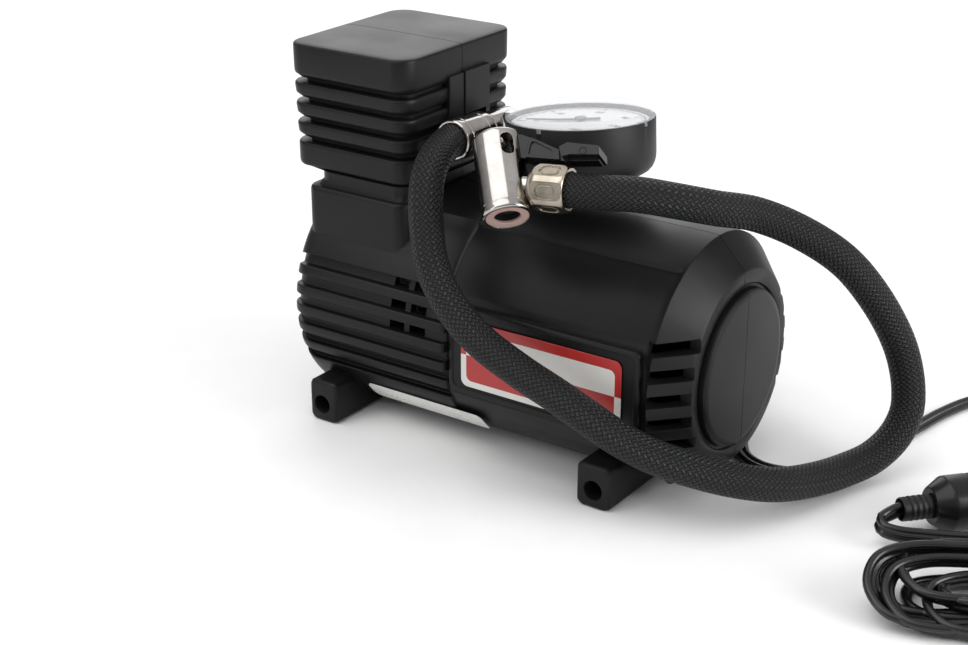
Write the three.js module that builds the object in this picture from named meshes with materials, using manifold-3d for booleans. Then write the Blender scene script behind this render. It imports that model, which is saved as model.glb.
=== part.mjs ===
import * as THREE from 'three';
import { mergeVertices } from 'three/addons/utils/BufferGeometryUtils.js';
import Module from 'manifold-3d';

const wasm = await Module();
wasm.setup();

// Millimetres. X runs along the barrel, -Y is the label side, Z is up, the feet stand on z = 0.

// Barrel housing
const BARREL_Z = 50;
const BARREL_R = 54;
const BARREL_LEFT = -94;
const CHAMFER_START = 87;
const RING_X = 99.6;
const RING_R = 41;
const DISC_X = 102;
const DISC_R = 33;
const FLAT_BOTTOM = 6;
const SEAM = 0.15;
const WALL = 3;
const CAVITY_R = BARREL_R - 3.4;
const RIB_CAVITY_R = BARREL_R - 6;
const GROOVE_FLOOR_R = BARREL_R - 3;
const GROOVE_COUNT = 6;
const GROOVE_TOP = 71.2;
const GROOVE_PITCH = 8.85;
const GROOVE_GAP = 4.6;
const RIB_END_X = -10.5;
const SIDE_FLAT_Y = 49;
const PANEL_Y = 50;

// Tower
const TOWER = { x0: -102, x1: -38, y: 40, r: 9 };
const TOWER_TOP = 163.5;
const TOWER_CENTRE_X = -70;
const FIN_PITCH = 8.73;
const FIN_COUNT = 3;
const FIRST_GROOVE_Z = 147.6;

// Feet
const FOOT_X = [[-81.1, -66], [58.1, 74.2]];
const FOOT_Y = 56.5;
const FOOT_TOP = 19;
const FOOT_HOLE = { x: [-74.3, 66], z: 7.8, r: 4.1 };

// Crank train
const CYL_X = -63;
const CRANK_Z = 60;
const THROW = 8;
const ROD_LENGTH = 44.5;
const BORE_R = 12;
const MOTOR_Z = 33;
const PINION_TEETH = 9;
const GEAR_TEETH = 45;
const MODULE = 1;
const MOTOR_R = 20;

// Gauge, hose and chuck
const GAUGE = new THREE.Vector3(15, 10, 141.5);
const GAUGE_LEAN_X = 4.8;
const GAUGE_LEAN_Y = 3.2;
const GAUGE_R = 31.3;
const GAUGE_H = 26.5;
const PIPE_DROP = 10.5;
const TEE_X = -41.4;
const HOSE_R = 7;
const CHUCK_FOOT = new THREE.Vector3(22.1, -53.4, 113.4);
const CHUCK_UP = new THREE.Vector3(-0.51, 0.52, 0.69).normalize();
const CHUCK_SIDE = new THREE.Vector3(0.856, 0.387, 0.345);
const CHUCK_R = 10.2;
const CHUCK_H = 36;
const CHUCK_DROOP = 22;
const BARB_Z = 15;

// Cord and plug
const GROMMET = { x: 50, z: 40 };
const CORD_R = 2.3;
const PLUG_REAR = new THREE.Vector3(183.5, 2.2, 11.6);
const PLUG_DIR = new THREE.Vector3(0.66, 0.75, 0).normalize();

// Round pieces get this share of the facets they ask for.
const DETAIL = 0.5;
const facets = (sides) => Math.max(8, 2 * Math.round(sides * DETAIL / 2));

const AXES = {
  x: new THREE.Matrix4().makeBasis(
    new THREE.Vector3(0, 1, 0), new THREE.Vector3(0, 0, 1), new THREE.Vector3(1, 0, 0)),
  y: new THREE.Matrix4().makeBasis(
    new THREE.Vector3(0, 0, 1), new THREE.Vector3(1, 0, 0), new THREE.Vector3(0, 1, 0)),
  z: new THREE.Matrix4(),
};

// Position-only welding, with collapsed triangles dropped.
function weld(geometry) {
  const source = geometry.index ? geometry.toNonIndexed() : geometry;
  const bare = new THREE.BufferGeometry();
  bare.setAttribute('position', source.getAttribute('position').clone());
  const merged = mergeVertices(bare, 1e-4);
  const index = merged.index.array;
  const kept = [];
  for (let i = 0; i < index.length; i += 3) {
    const [a, b, c] = [index[i], index[i + 1], index[i + 2]];
    if (a !== b && b !== c && a !== c) kept.push(a, b, c);
  }
  merged.setIndex(kept);
  return merged;
}

function volumeOf(position, index) {
  const a = new THREE.Vector3();
  const b = new THREE.Vector3();
  const c = new THREE.Vector3();
  let sum = 0;
  for (let i = 0; i < index.length; i += 3) {
    a.fromBufferAttribute(position, index[i]);
    b.fromBufferAttribute(position, index[i + 1]);
    c.fromBufferAttribute(position, index[i + 2]);
    sum += a.dot(b.cross(c));
  }
  return sum / 6;
}

function solid(geometry, matrix) {
  const welded = weld(geometry);
  if (matrix) welded.applyMatrix4(matrix);
  const position = welded.getAttribute('position');
  const index = Array.from(welded.index.array);
  if (volumeOf(position, index) < 0) {
    for (let i = 0; i < index.length; i += 3) [index[i + 1], index[i + 2]] = [index[i + 2], index[i + 1]];
  }
  return new wasm.Manifold(new wasm.Mesh({
    numProp: 3,
    vertProperties: Float32Array.from(position.array),
    triVerts: Uint32Array.from(index),
  }));
}

// The solid runs from "from" to "to" along the named axis; across is measured on the next two axes
// in the order X, Y, Z, X.
function along(axis, geometry, from, to, across) {
  const matrix = AXES[axis].clone();
  matrix.multiply(new THREE.Matrix4().makeTranslation(across[0], across[1], from));
  return solid(geometry, matrix);
}

function box(x0, x1, y0, y1, z0, z1) {
  const geometry = new THREE.BoxGeometry(x1 - x0, y1 - y0, z1 - z0);
  geometry.translate((x0 + x1) / 2, (y0 + y1) / 2, (z0 + z1) / 2);
  return solid(geometry);
}

function rod(axis, radius, from, to, across = [0, 0], sides = 32) {
  const geometry = new THREE.CylinderGeometry(radius, radius, to - from, sides > 6 ? facets(sides) : sides);
  geometry.rotateX(Math.PI / 2);
  geometry.translate(0, 0, (to - from) / 2);
  return along(axis, geometry, from, to, across);
}

function ring(axis, outer, inner, from, to, across = [0, 0], sides = 32) {
  return rod(axis, outer, from, to, across, sides).subtract(rod(axis, inner, from - 1, to + 1, across, sides));
}

// Profile points are [radius, height]; they start and end on the axis, or close on themselves.
function turned(axis, profile, across = [0, 0], sides = 48) {
  const geometry = new THREE.LatheGeometry(profile.map(([r, h]) => new THREE.Vector2(r, h)), facets(sides));
  geometry.rotateX(Math.PI / 2);
  return along(axis, geometry, 0, 0, across);
}

function prism(axis, shape, from, to, curveSegments = 8) {
  const geometry = new THREE.ExtrudeGeometry(shape, { depth: to - from, bevelEnabled: false, curveSegments });
  return along(axis, geometry, from, to, [0, 0]);
}

function polygon(points) {
  return new THREE.Shape(points.map(([x, y]) => new THREE.Vector2(x, y)));
}

function roundedRect(x0, x1, y0, y1, r) {
  const shape = new THREE.Shape();
  shape.moveTo(x0 + r, y0);
  shape.lineTo(x1 - r, y0);
  shape.absarc(x1 - r, y0 + r, r, -Math.PI / 2, 0);
  shape.lineTo(x1, y1 - r);
  shape.absarc(x1 - r, y1 - r, r, 0, Math.PI / 2);
  shape.lineTo(x0 + r, y1);
  shape.absarc(x0 + r, y1 - r, r, Math.PI / 2, Math.PI);
  shape.lineTo(x0, y0 + r);
  shape.absarc(x0 + r, y0 + r, r, Math.PI, Math.PI * 1.5);
  return shape;
}

// A stack of rounded rectangles joined level to level, low to high.
function stack(levels, cornerSteps = 3) {
  const count = 4 * (cornerSteps + 1);
  const position = [];
  for (const { z, x0, x1, y0, y1, r } of levels) {
    const corners = [[x1 - r, y1 - r, 0], [x0 + r, y1 - r, 1], [x0 + r, y0 + r, 2], [x1 - r, y0 + r, 3]];
    for (const [cx, cy, quarter] of corners) {
      for (let i = 0; i <= cornerSteps; i += 1) {
        const angle = (quarter + i / cornerSteps) * Math.PI / 2;
        position.push(cx + r * Math.cos(angle), cy + r * Math.sin(angle), z);
      }
    }
  }
  const index = [];
  for (let k = 0; k + 1 < levels.length; k += 1) {
    for (let i = 0; i < count; i += 1) {
      const a = k * count + i;
      const b = k * count + (i + 1) % count;
      index.push(a, b, b + count, a, b + count, a + count);
    }
  }
  const last = (levels.length - 1) * count;
  for (let i = 1; i + 1 < count; i += 1) {
    index.push(0, i + 1, i, last, last + i, last + i + 1);
  }
  const geometry = new THREE.BufferGeometry();
  geometry.setAttribute('position', new THREE.Float32BufferAttribute(position, 3));
  geometry.setIndex(index);
  return solid(geometry);
}

function union(parts) {
  return parts.reduce((sum, part) => sum.add(part));
}

function moved(body, matrix) {
  return body.transform(matrix.elements);
}

function frameOf(origin, xAxis, yAxis, zAxis) {
  return new THREE.Matrix4().makeBasis(xAxis, yAxis, zAxis).setPosition(origin);
}

const group = new THREE.Group();
group.name = 'mini_air_compressor';

const FINISH = {
  shell: { color: 0x1b1b1d, roughness: 0.5, metalness: 0 },
  label: { color: 0xc23b36, roughness: 0.4, metalness: 0 },
  blank: { color: 0xe6e2dc, roughness: 0.5, metalness: 0 },
  screw: { color: 0x8f9194, roughness: 0.35, metalness: 1 },
  alloy: { color: 0xb4b6b8, roughness: 0.45, metalness: 1 },
  steel: { color: 0x9fa2a6, roughness: 0.3, metalness: 1 },
  chrome: { color: 0xdedcd8, roughness: 0.12, metalness: 1 },
  brass: { color: 0xb89552, roughness: 0.35, metalness: 1 },
  copper: { color: 0xa85f36, roughness: 0.4, metalness: 1 },
  magnet: { color: 0x3b3b3e, roughness: 0.7, metalness: 0 },
  carbon: { color: 0x232325, roughness: 0.8, metalness: 0 },
  gearplastic: { color: 0xe9e6dc, roughness: 0.5, metalness: 0 },
  rubber: { color: 0x151516, roughness: 0.75, metalness: 0 },
  gasket: { color: 0xb48d84, roughness: 0.7, metalness: 0 },
  blackplastic: { color: 0x161617, roughness: 0.45, metalness: 0 },
  dial: { color: 0xf2f3f4, roughness: 0.6, metalness: 0 },
  needle: { color: 0x202022, roughness: 0.4, metalness: 0 },
  clear: { color: 0xf4f7f8, roughness: 0.05, metalness: 0 },
  cord: { color: 0x141415, roughness: 0.5, metalness: 0 },
  fuseglass: { color: 0xdfe6e6, roughness: 0.1, metalness: 0 },
};

function add(name, body, finish) {
  const mesh = body.getMesh();
  const geometry = new THREE.BufferGeometry();
  geometry.setAttribute('position', new THREE.BufferAttribute(Float32Array.from(mesh.vertProperties), 3));
  geometry.setIndex(Array.from(mesh.triVerts));
  geometry.computeVertexNormals();
  const material = new THREE.MeshStandardMaterial(FINISH[finish]);
  material.name = finish;
  const node = new THREE.Mesh(geometry, material);
  node.name = name;
  group.add(node);
  return node;
}

// ---------------------------------------------------------------- housing

function barrelBody() {
  const body = turned('x', [
    [0, BARREL_LEFT], [46, BARREL_LEFT], [50, BARREL_LEFT + 1.6], [52.8, BARREL_LEFT + 5],
    [BARREL_R, BARREL_LEFT + 10], [BARREL_R, CHAMFER_START], [RING_R, RING_X],
    [DISC_R + 2.2, RING_X], [DISC_R + 1.2, RING_X - 1.6], [DISC_R, RING_X - 1.6],
    [DISC_R - 0.4, DISC_X - 0.6], [DISC_R - 2, DISC_X], [0, DISC_X + 0.01],
  ], [0, BARREL_Z], 72);
  const cuts = [box(-200, 200, -100, 100, -100, FLAT_BOTTOM)];
  for (const side of [-1, 1]) {
    const [y0, y1] = side < 0 ? [-80, -SIDE_FLAT_Y] : [SIDE_FLAT_Y, 80];
    cuts.push(box(RIB_END_X, CHAMFER_START, y0, y1, 28.5, 73.2));
    const half = side < 0 ? box(-200, 200, -200, -20, -200, 200) : box(-200, 200, 20, 200, -200, 200);
    const skin = ring('x', 70, GROOVE_FLOOR_R, -120, RIB_END_X, [0, BARREL_Z], 72).intersect(half);
    for (let k = 0; k < GROOVE_COUNT; k += 1) {
      const z = GROOVE_TOP - k * GROOVE_PITCH;
      const band = box(-200, RIB_END_X, -100, 100, z - GROOVE_GAP / 2, z + GROOVE_GAP / 2);
      cuts.push(skin.intersect(band));
    }
  }
  return union([body.subtract(union(cuts)), ...[-1, 1].map(labelPanel)]);
}

function labelPanel(side) {
  const plate = prism('y', roundedRect(30, 69, -10, 81.7, 3), 0, 4);
  const y = side < 0 ? -PANEL_Y : PANEL_Y - 4;
  return moved(plate, new THREE.Matrix4().makeTranslation(0, y, 0));
}

function towerBody() {
  const level = (z, inset, extra = {}) => ({
    z,
    x0: (extra.x0 ?? TOWER.x0) + inset,
    x1: TOWER.x1 - inset * 0.6,
    y0: -(extra.y ?? TOWER.y) + inset,
    y1: (extra.y ?? TOWER.y) - inset,
    r: Math.max((extra.r ?? TOWER.r) - inset * 0.6, 2),
  });
  const levels = [
    level(66, 0, { x0: -90.8, y: 43, r: 6 }),
    level(101.6, 0, { x0: -90.8, y: 43, r: 6 }),
    level(103, 0.8, { x0: -90.8, y: 43, r: 6 }),
    level(105.6, 0.6, { x0: -88.2 }),
    level(109.4, 0.6, { x0: -88.2 }),
    level(110.2, 1.4),
    level(111.6, 1.1),
  ];
  for (let k = FIN_COUNT; k >= 0; k -= 1) {
    const groove = FIRST_GROOVE_Z - k * FIN_PITCH;
    const taper = 0.2 + 0.25 * k;
    levels.push(level(groove - 2.4, taper));
    levels.push(level(groove - 1.2, taper + 0.5));
    levels.push(level(groove - 0.95, taper + 1.2));
    levels.push(level(groove - 0.9, 4.6));
    levels.push(level(groove + 0.9, 4.6));
    levels.push(level(groove + 1, taper + 2.1));
    levels.push(level(groove + 3, taper));
  }
  levels.push(level(TOWER_TOP - 1.3, 0));
  levels.push(level(TOWER_TOP - 0.4, 0.4));
  levels.push(level(TOWER_TOP, 1.3));
  levels.push(level(TOWER_TOP + 0.5, 14));
  const front = box(-46, -36.9, -10.3, 0.01, 112, 151.4);
  const rear = box(-46, -36.3, 0, 18.3, 112, 151.8);
  const notch = box(-46, -30, -3, 15.2, 100, 133.2);
  return stack(levels).add(front.add(rear).subtract(notch));
}

function footBar([x0, x1]) {
  const shape = roundedRect(0, FOOT_TOP, x0, x1, 2.6);
  const geometry = new THREE.ExtrudeGeometry(shape, {
    depth: 2 * FOOT_Y - 2.4,
    bevelEnabled: true,
    bevelThickness: 1.2,
    bevelSize: 1.2,
    bevelOffset: -1.2,
    bevelSegments: 2,
    curveSegments: 4,
  });
  return along('y', geometry, -FOOT_Y + 1.2, 0, [0, 0]);
}

function cavity() {
  const round = turned('x', [
    [0, BARREL_LEFT + WALL], [RIB_CAVITY_R - 5, BARREL_LEFT + WALL], [RIB_CAVITY_R, BARREL_LEFT + 8],
    [RIB_CAVITY_R, RIB_END_X + 2], [CAVITY_R, RIB_END_X + 4], [CAVITY_R, CHAMFER_START - 2],
    [RING_R - 4.5, RING_X - 4.4], [0, RING_X - 4.4],
  ], [0, BARREL_Z], 64);
  const inside = round.intersect(box(-200, 200, -46, 46, FLAT_BOTTOM + 2.8, 200));
  const tower = stack([
    { z: 60, x0: -85, x1: -45.2, y0: -33, y1: 33, r: 4 },
    { z: 112.5, x0: -85, x1: -45.2, y0: -33, y1: 33, r: 4 },
    { z: 114.5, x0: -94.4, x1: -45.2, y0: -32.4, y1: 32.4, r: 4 },
    { z: 160.5, x0: -94.4, x1: -45.2, y0: -32.4, y1: 32.4, r: 4 },
  ]);
  return inside.add(tower);
}

function ventCuts() {
  const cuts = [];
  for (const side of [-1, 1]) {
    for (let k = 0; k < 5; k += 1) {
      const z = 71.3 - 10.2 * k;
      const span = (y0, y1) => (side < 0 ? [-y1, -y0] : [y0, y1]);
      cuts.push(box(83.5, 94.5, ...span(30, 70), z - 2.6, z + 2.6));
      const reach = Math.sqrt(RING_R ** 2 - (z - BARREL_Z) ** 2) - 1.1;
      cuts.push(box(94, 110, ...span(reach, 70), z - 2.6, z + 2.6));
    }
    for (let k = 0; k < 3; k += 1) {
      const z = GROOVE_TOP - k * GROOVE_PITCH;
      const y = side < 0 ? [-70, -36] : [36, 70];
      cuts.push(box(-40, -32.4, ...y, z - GROOVE_GAP / 2, z + GROOVE_GAP / 2));
      cuts.push(box(-29.6, -21.5, ...y, z - GROOVE_GAP / 2, z + GROOVE_GAP / 2));
    }
  }
  cuts.push(rod('x', 6.6, -50, -30, [9.3, 126.1], 28));
  cuts.push(rod('y', 4.8, 40, 60, [GROMMET.z, GROMMET.x], 24));
  return union(cuts);
}

const CASE_SCREWS = [
  { name: 'foot_screw_left', x: FOOT_HOLE.x[0], z: FOOT_HOLE.z, side: -1, seat: 24, tip: 16 },
  { name: 'foot_screw_right', x: FOOT_HOLE.x[1], z: FOOT_HOLE.z, side: -1, seat: 24, tip: 16 },
  { name: 'case_screw_tower', x: TOWER_CENTRE_X, z: 154.2, side: 1, seat: 20, tip: 16, boss: 37 },
  { name: 'case_screw_barrel', x: 60, z: 91, side: 1, seat: 14, tip: 13, boss: 26 },
];

function caseShell() {
  const outer = union([barrelBody(), towerBody(), ...FOOT_X.map(footBar)]);
  let shell = outer.subtract(cavity());
  const ribs = [-10, 20].map((x) => rod('x', BARREL_R - 2, x, x + 3, [0, BARREL_Z], 64)
    .intersect(box(x, x + 3, -47.5, 47.5, 7, 52))
    .subtract(rod('x', MOTOR_R + 0.5, x - 1, x + 4, [0, MOTOR_Z], 48))
    .subtract(box(x - 1, x + 4, -MOTOR_R - 0.5, MOTOR_R + 0.5, MOTOR_Z, 60)));
  const bosses = CASE_SCREWS.filter((s) => s.boss).map((s) => rod('y', 5.6, -s.boss, s.boss, [s.z, s.x], 24));
  shell = union([shell, ...ribs, ...bosses]).subtract(ventCuts());
  for (const s of CASE_SCREWS) {
    const recess = s.side < 0 ? [-90, -s.seat] : [s.seat, 90];
    shell = shell.subtract(rod('y', FOOT_HOLE.r, ...recess, [s.z, s.x], 24));
    shell = shell.subtract(rod('y', 1.9, -s.seat - 1, s.seat + 1, [s.z, s.x], 12));
  }
  return shell;
}

const shell = caseShell();
add('front_shell', shell.intersect(box(-300, 300, -300, -SEAM, -10, 300)), 'shell');
add('rear_shell', shell.intersect(box(-300, 300, SEAM, 300, -10, 300)), 'shell');

for (const s of CASE_SCREWS) {
  const head = s.seat + 0.3;
  const profile = [[0, head + 2.6], [2.2, head + 2.6], [3.4, head + 1.6], [3.4, head], [1.6, head], [1.6, -s.tip], [0, -s.tip - 1.2]];
  const screw = turned('y', profile.map(([r, h]) => [r, s.side * h]), [s.z, s.x], 16);
  const slotY = s.side * (head + 2.6);
  const cross = [box(-2.1, 2.1, -1, 1, -0.4, 0.4), box(-0.4, 0.4, -1, 1, -2.1, 2.1)]
    .map((c) => moved(c, new THREE.Matrix4().makeTranslation(s.x, slotY, s.z)));
  add(s.name, screw.subtract(union(cross)), 'screw');
}

add('front_label', prism('y', roundedRect(34, 63.5, -3, 74, 3.2), -PANEL_Y - 0.4, -PANEL_Y - 0.1), 'label');

// Blank sticker wrapped round the underside of the barrel.
function arcBand(radius, thickness, from, to, steps) {
  const points = [];
  for (let i = 0; i <= steps; i += 1) {
    const a = (from + (to - from) * i / steps) * Math.PI / 180;
    points.push([-radius * Math.cos(a), BARREL_Z - radius * Math.sin(a)]);
  }
  for (let i = steps; i >= 0; i -= 1) {
    const a = (from + (to - from) * i / steps) * Math.PI / 180;
    points.push([-(radius + thickness) * Math.cos(a), BARREL_Z - (radius + thickness) * Math.sin(a)]);
  }
  return polygon(points);
}
add('lower_label', prism('x', arcBand(BARREL_R + 0.1, 0.3, 36.5, 50, 6), -59, 2), 'blank');

// ---------------------------------------------------------------- compressor

const cylTop = 115;
const crankCase = union([
  box(-44, -39, -20, 20, 14, 88),
  box(-82, -39, -22, 22, 84, 88),
  box(-82, -50, -26, 26, 84, 88),
]).subtract(union([
  rod('x', 8.4, -50, -30, [0, CRANK_Z], 32),
  rod('x', 7, -50, -30, [0, MOTOR_Z], 32),
  rod('z', BORE_R + 1.2, 70, 100, [CYL_X, 0], 40),
  rod('z', 2.3, 70, 100, [CYL_X, -22], 16),
  rod('z', 2.3, 70, 100, [CYL_X, 22], 16),
  rod('x', 1.8, -50, -30, [12, MOTOR_Z], 12),
  rod('x', 1.8, -50, -30, [-12, MOTOR_Z], 12),
]));
add('crank_frame', crankCase, 'alloy');

function eared(z0, z1, radius) {
  return union([
    rod('z', radius, z0, z1, [CYL_X, 0], 40),
    rod('z', 4.6, z0, z1, [CYL_X, -22], 20),
    rod('z', 4.6, z0, z1, [CYL_X, 22], 20),
    box(CYL_X - 4.6, CYL_X + 4.6, -22, 22, z0, z1),
  ]);
}

const cylinderFins = [];
for (let k = 0; k < 3; k += 1) cylinderFins.push(rod('z', 17.4, 94.6 + 5.4 * k, 96.6 + 5.4 * k, [CYL_X, 0], 40));
const screwHoles = union([-22, 22].map((y) => rod('z', 2.3, 60, 150, [CYL_X, y], 16)));
add('cylinder', union([eared(88.3, 91.3, 17.4), eared(cylTop - 3, cylTop, 17.4), rod('z', 14.4, 88.3, cylTop, [CYL_X, 0], 40),
  ...cylinderFins]).subtract(rod('z', BORE_R, 80, 120, [CYL_X, 0], 40)).subtract(screwHoles), 'alloy');
add('valve_plate', eared(cylTop + 0.3, cylTop + 1.8, 17.4).subtract(screwHoles)
  .subtract(rod('z', 2, 110, 125, [CYL_X + 5, 0], 16)).subtract(rod('z', 2, 110, 125, [CYL_X - 5, 0], 16)), 'steel');
add('reed_valve', union([rod('z', 3.2, cylTop + 2.1, cylTop + 2.4, [CYL_X + 5, 0], 20),
  box(CYL_X - 9, CYL_X + 5, -2, 2, cylTop + 2.1, cylTop + 2.4)]), 'steel');
const headZ = cylTop + 2.7;
add('cylinder_head', eared(headZ, 134, 17.4)
  .subtract(union([
    rod('z', 12.5, headZ - 1, 124, [CYL_X, 0], 36),
    rod('x', 3.2, CYL_X, -40, [9.3, 122.5], 16),
    rod('x', 6.4, -50.2, -40, [9.3, 125.8], 20),
    ...[-8, 0, 8].map((y) => box(-90, -40, y - 1.4, y + 1.4, 129.5, 140)),
    screwHoles,
  ])), 'alloy');
for (const [name, y] of [['head_screw_front', -22], ['head_screw_rear', 22]]) {
  add(name, turned('z', [[0, 137.8], [2.6, 137.8], [3.8, 136.6], [3.8, 134.3], [1.9, 134.3], [1.9, 82], [0, 81]], [CYL_X, y], 16), 'screw');
}

// Crank gear, shaft and pin turn together; the pin stops short of the connecting rod.
function gearShape(teeth, rootR, tipR, fill, offset) {
  const points = [];
  for (let i = 0; i < teeth; i += 1) {
    const centre = (i + offset) * 2 * Math.PI / teeth;
    const half = Math.PI / teeth * fill;
    for (const [r, a] of [[rootR, -half * 1.35], [tipR, -half * 0.6], [tipR, half * 0.6], [rootR, half * 1.35]]) {
      points.push([r * Math.cos(centre + a), r * Math.sin(centre + a)]);
    }
  }
  return polygon(points);
}
const gearR = GEAR_TEETH * MODULE / 2;
const pinionR = PINION_TEETH * MODULE / 2;
const turn = (angle) => new THREE.Matrix4().makeRotationX(angle);
const at = (x, y, z) => new THREE.Matrix4().makeTranslation(x, y, z);
// Shape axes are Y and Z, so a tooth at angle 90 degrees points up.
const gearBlank = moved(prism('x', gearShape(GEAR_TEETH, gearR - 1.2, gearR + 0.75, 0.42, 0.25), -57, -49), at(0, 0, CRANK_Z));
const lightening = [];
for (let i = 0; i < 6; i += 1) {
  const a = i * Math.PI / 3 + Math.PI / 6;
  lightening.push(rod('x', 4, -60, -45, [13.5 * Math.cos(a), CRANK_Z + 13.5 * Math.sin(a)], 16));
}
const pinHole = rod('x', 2.8, -60, -45, [0, CRANK_Z + THROW], 20);
add('crank_gear', gearBlank.subtract(union([...lightening, pinHole, rod('x', 3.3, -60, -45, [0, CRANK_Z], 20)])), 'gearplastic');
add('crank_shaft', rod('x', 3, -57.4, -36.4, [0, CRANK_Z], 20), 'steel');
add('crank_pin', union([rod('x', 2.5, -58.8, -48.5, [0, CRANK_Z + THROW], 16),
  rod('x', 3.6, -58.8, -57.4, [0, CRANK_Z + THROW], 20)]), 'steel');
add('crank_bearing', ring('x', 8, 3.3, -44.6, -38.6, [0, CRANK_Z], 32), 'steel');
add('pinion', moved(prism('x', gearShape(PINION_TEETH, pinionR - 1.1, pinionR + 0.75, 0.42, 0), -57, -48), at(0, 0, MOTOR_Z).multiply(turn(Math.PI / 2)))
  .subtract(rod('x', 1.8, -60, -40, [0, MOTOR_Z], 16)), 'brass');

// Piston and connecting rod in one piece, as cast, with the big end level with the crank pin at top dead centre.
const rodMid = CRANK_Z + THROW;
const pistonTop = rodMid + ROD_LENGTH;
add('piston_rod', union([
  rod('z', BORE_R - 0.8, pistonTop - 5, pistonTop, [CYL_X, 0], 40),
  box(CYL_X - 2.5, CYL_X + 2.5, -3.6, 3.6, rodMid + 5, pistonTop - 4),
  rod('x', 8, CYL_X - 3.5, CYL_X + 3.5, [0, rodMid], 32),
]).subtract(rod('x', 5.3, CYL_X - 5, CYL_X + 5, [0, rodMid], 32)).subtract(rod('z', 1.9, pistonTop - 4, pistonTop + 1, [CYL_X, 0], 12)), 'alloy');
add('big_end_bush', ring('x', 5, 3.2, CYL_X - 3.4, CYL_X + 3.4, [0, rodMid], 28), 'brass');
add('piston_seal', turned('z', [[0, pistonTop + 0.3], [9, pistonTop + 0.3], [BORE_R - 0.3, pistonTop + 0.3],
  [BORE_R - 0.3, pistonTop + 2.3], [BORE_R - 1.1, pistonTop + 2.3], [BORE_R - 1.6, pistonTop + 1.1], [0, pistonTop + 1.1]],
[CYL_X, 0], 40), 'rubber');

// ---------------------------------------------------------------- motor

const canFront = -38.6;
const canRear = 30;
add('motor_can', turned('x', [[7, canFront], [MOTOR_R - 1.5, canFront], [MOTOR_R, canFront + 1.5], [MOTOR_R, canRear],
  [MOTOR_R - 1.4, canRear], [MOTOR_R - 1.4, canFront + 1.6], [7, canFront + 1.6], [7, canFront]], [0, MOTOR_Z], 40)
  .subtract(union([-12, 12].map((y) => rod('x', 1.8, -50, -30, [y, MOTOR_Z], 12)))), 'steel');
add('motor_end_bell', turned('x', [[2.6, canRear + 0.3], [MOTOR_R - 0.2, canRear + 0.3], [MOTOR_R - 0.2, canRear + 4], [MOTOR_R - 3, canRear + 5.5],
  [8, canRear + 5.5], [7, canRear + 9], [2.6, canRear + 9], [2.6, canRear + 0.3]], [0, MOTOR_Z], 40), 'blackplastic');
function magnet(side) {
  const body = ring('x', MOTOR_R - 1.7, MOTOR_R - 6, canFront + 10, canRear - 14, [0, MOTOR_Z], 48);
  const [y0, y1] = side < 0 ? [-30, -5.5] : [5.5, 30];
  return body.intersect(box(-100, 100, y0, y1, MOTOR_Z - 30, MOTOR_Z + 30));
}
add('magnet_front', magnet(-1), 'magnet');
add('magnet_rear', magnet(1), 'magnet');
const armatureShape = [];
for (let i = 0; i < 5; i += 1) {
  const a = i * 2 * Math.PI / 5;
  for (const [r, d] of [[5, -0.52], [11, -0.16], [11, -0.5], [13.2, -0.52], [13.4, 0], [13.2, 0.52], [11, 0.5], [11, 0.16], [5, 0.52]]) {
    armatureShape.push([r * Math.cos(a + d), r * Math.sin(a + d)]);
  }
}
add('armature', union([
  moved(prism('x', polygon(armatureShape), canFront + 12, canRear - 16), at(0, 0, MOTOR_Z)),
  rod('x', 10.4, canFront + 9, canFront + 12.5, [0, MOTOR_Z], 32),
  rod('x', 10.4, canRear - 16.5, canRear - 12, [0, MOTOR_Z], 32),
]).subtract(rod('x', 1.9, -100, 100, [0, MOTOR_Z], 16)), 'copper');
add('commutator', ring('x', 5.2, 1.9, canRear - 11.6, canRear - 2, [0, MOTOR_Z], 30), 'copper');
add('motor_shaft', rod('x', 1.5, -57.6, canRear + 7.5, [0, MOTOR_Z], 16), 'steel');
add('brush_front', box(canRear - 9, canRear - 4, -10.5, -5.5, MOTOR_Z - 2, MOTOR_Z + 2), 'carbon');
add('brush_rear', box(canRear - 9, canRear - 4, 5.5, 10.5, MOTOR_Z - 2, MOTOR_Z + 2), 'carbon');
for (const [name, y] of [['motor_screw_front', -12], ['motor_screw_rear', 12]]) {
  add(name, turned('x', [[0, -47], [2.8, -47], [2.8, -44.3], [1.4, -44.3], [1.4, -34], [0, -33]], [y, MOTOR_Z], 14), 'screw');
}

// ---------------------------------------------------------------- gauge and outlet

const rad = (deg) => deg * Math.PI / 180;
const gaugeUp = new THREE.Vector3(-Math.sin(rad(GAUGE_LEAN_X)), Math.sin(rad(GAUGE_LEAN_Y)), 1).normalize();
const gaugeX = new THREE.Vector3(0, 1, 0).cross(gaugeUp).normalize();
const gaugeY = gaugeUp.clone().cross(gaugeX);
const gaugeFrame = frameOf(GAUGE, gaugeX, gaugeY, gaugeUp);
const gaugeAdd = (name, body, finish) => add(name, moved(body, gaugeFrame), finish);

gaugeAdd('gauge_case', turned('z', [[0, -GAUGE_H], [GAUGE_R - 6, -GAUGE_H], [GAUGE_R - 2.2, -GAUGE_H + 1.2],
  [GAUGE_R - 0.5, -GAUGE_H + 3.6], [GAUGE_R, -GAUGE_H + 6.5], [GAUGE_R, -3.1], [GAUGE_R - 1.8, -3.1],
  [GAUGE_R - 1.8, -GAUGE_H + 6], [GAUGE_R - 5, -GAUGE_H + 2.6], [0, -GAUGE_H + 2.6]], [0, 0], 64), 'blackplastic');
gaugeAdd('gauge_lens', turned('z', [[0, -2.5], [GAUGE_R - 1.2, -2.5], [GAUGE_R - 0.2, -2.8], [GAUGE_R - 0.2, -0.5],
  [GAUGE_R - 0.8, 0], [0, 0.35]], [0, 0], 64), 'clear');
gaugeAdd('gauge_dial', rod('z', GAUGE_R - 2.2, -5.6, -4.9, [0, 0], 56).subtract(rod('z', 1.6, -9, -2, [0, 0], 16)), 'dial');
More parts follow.
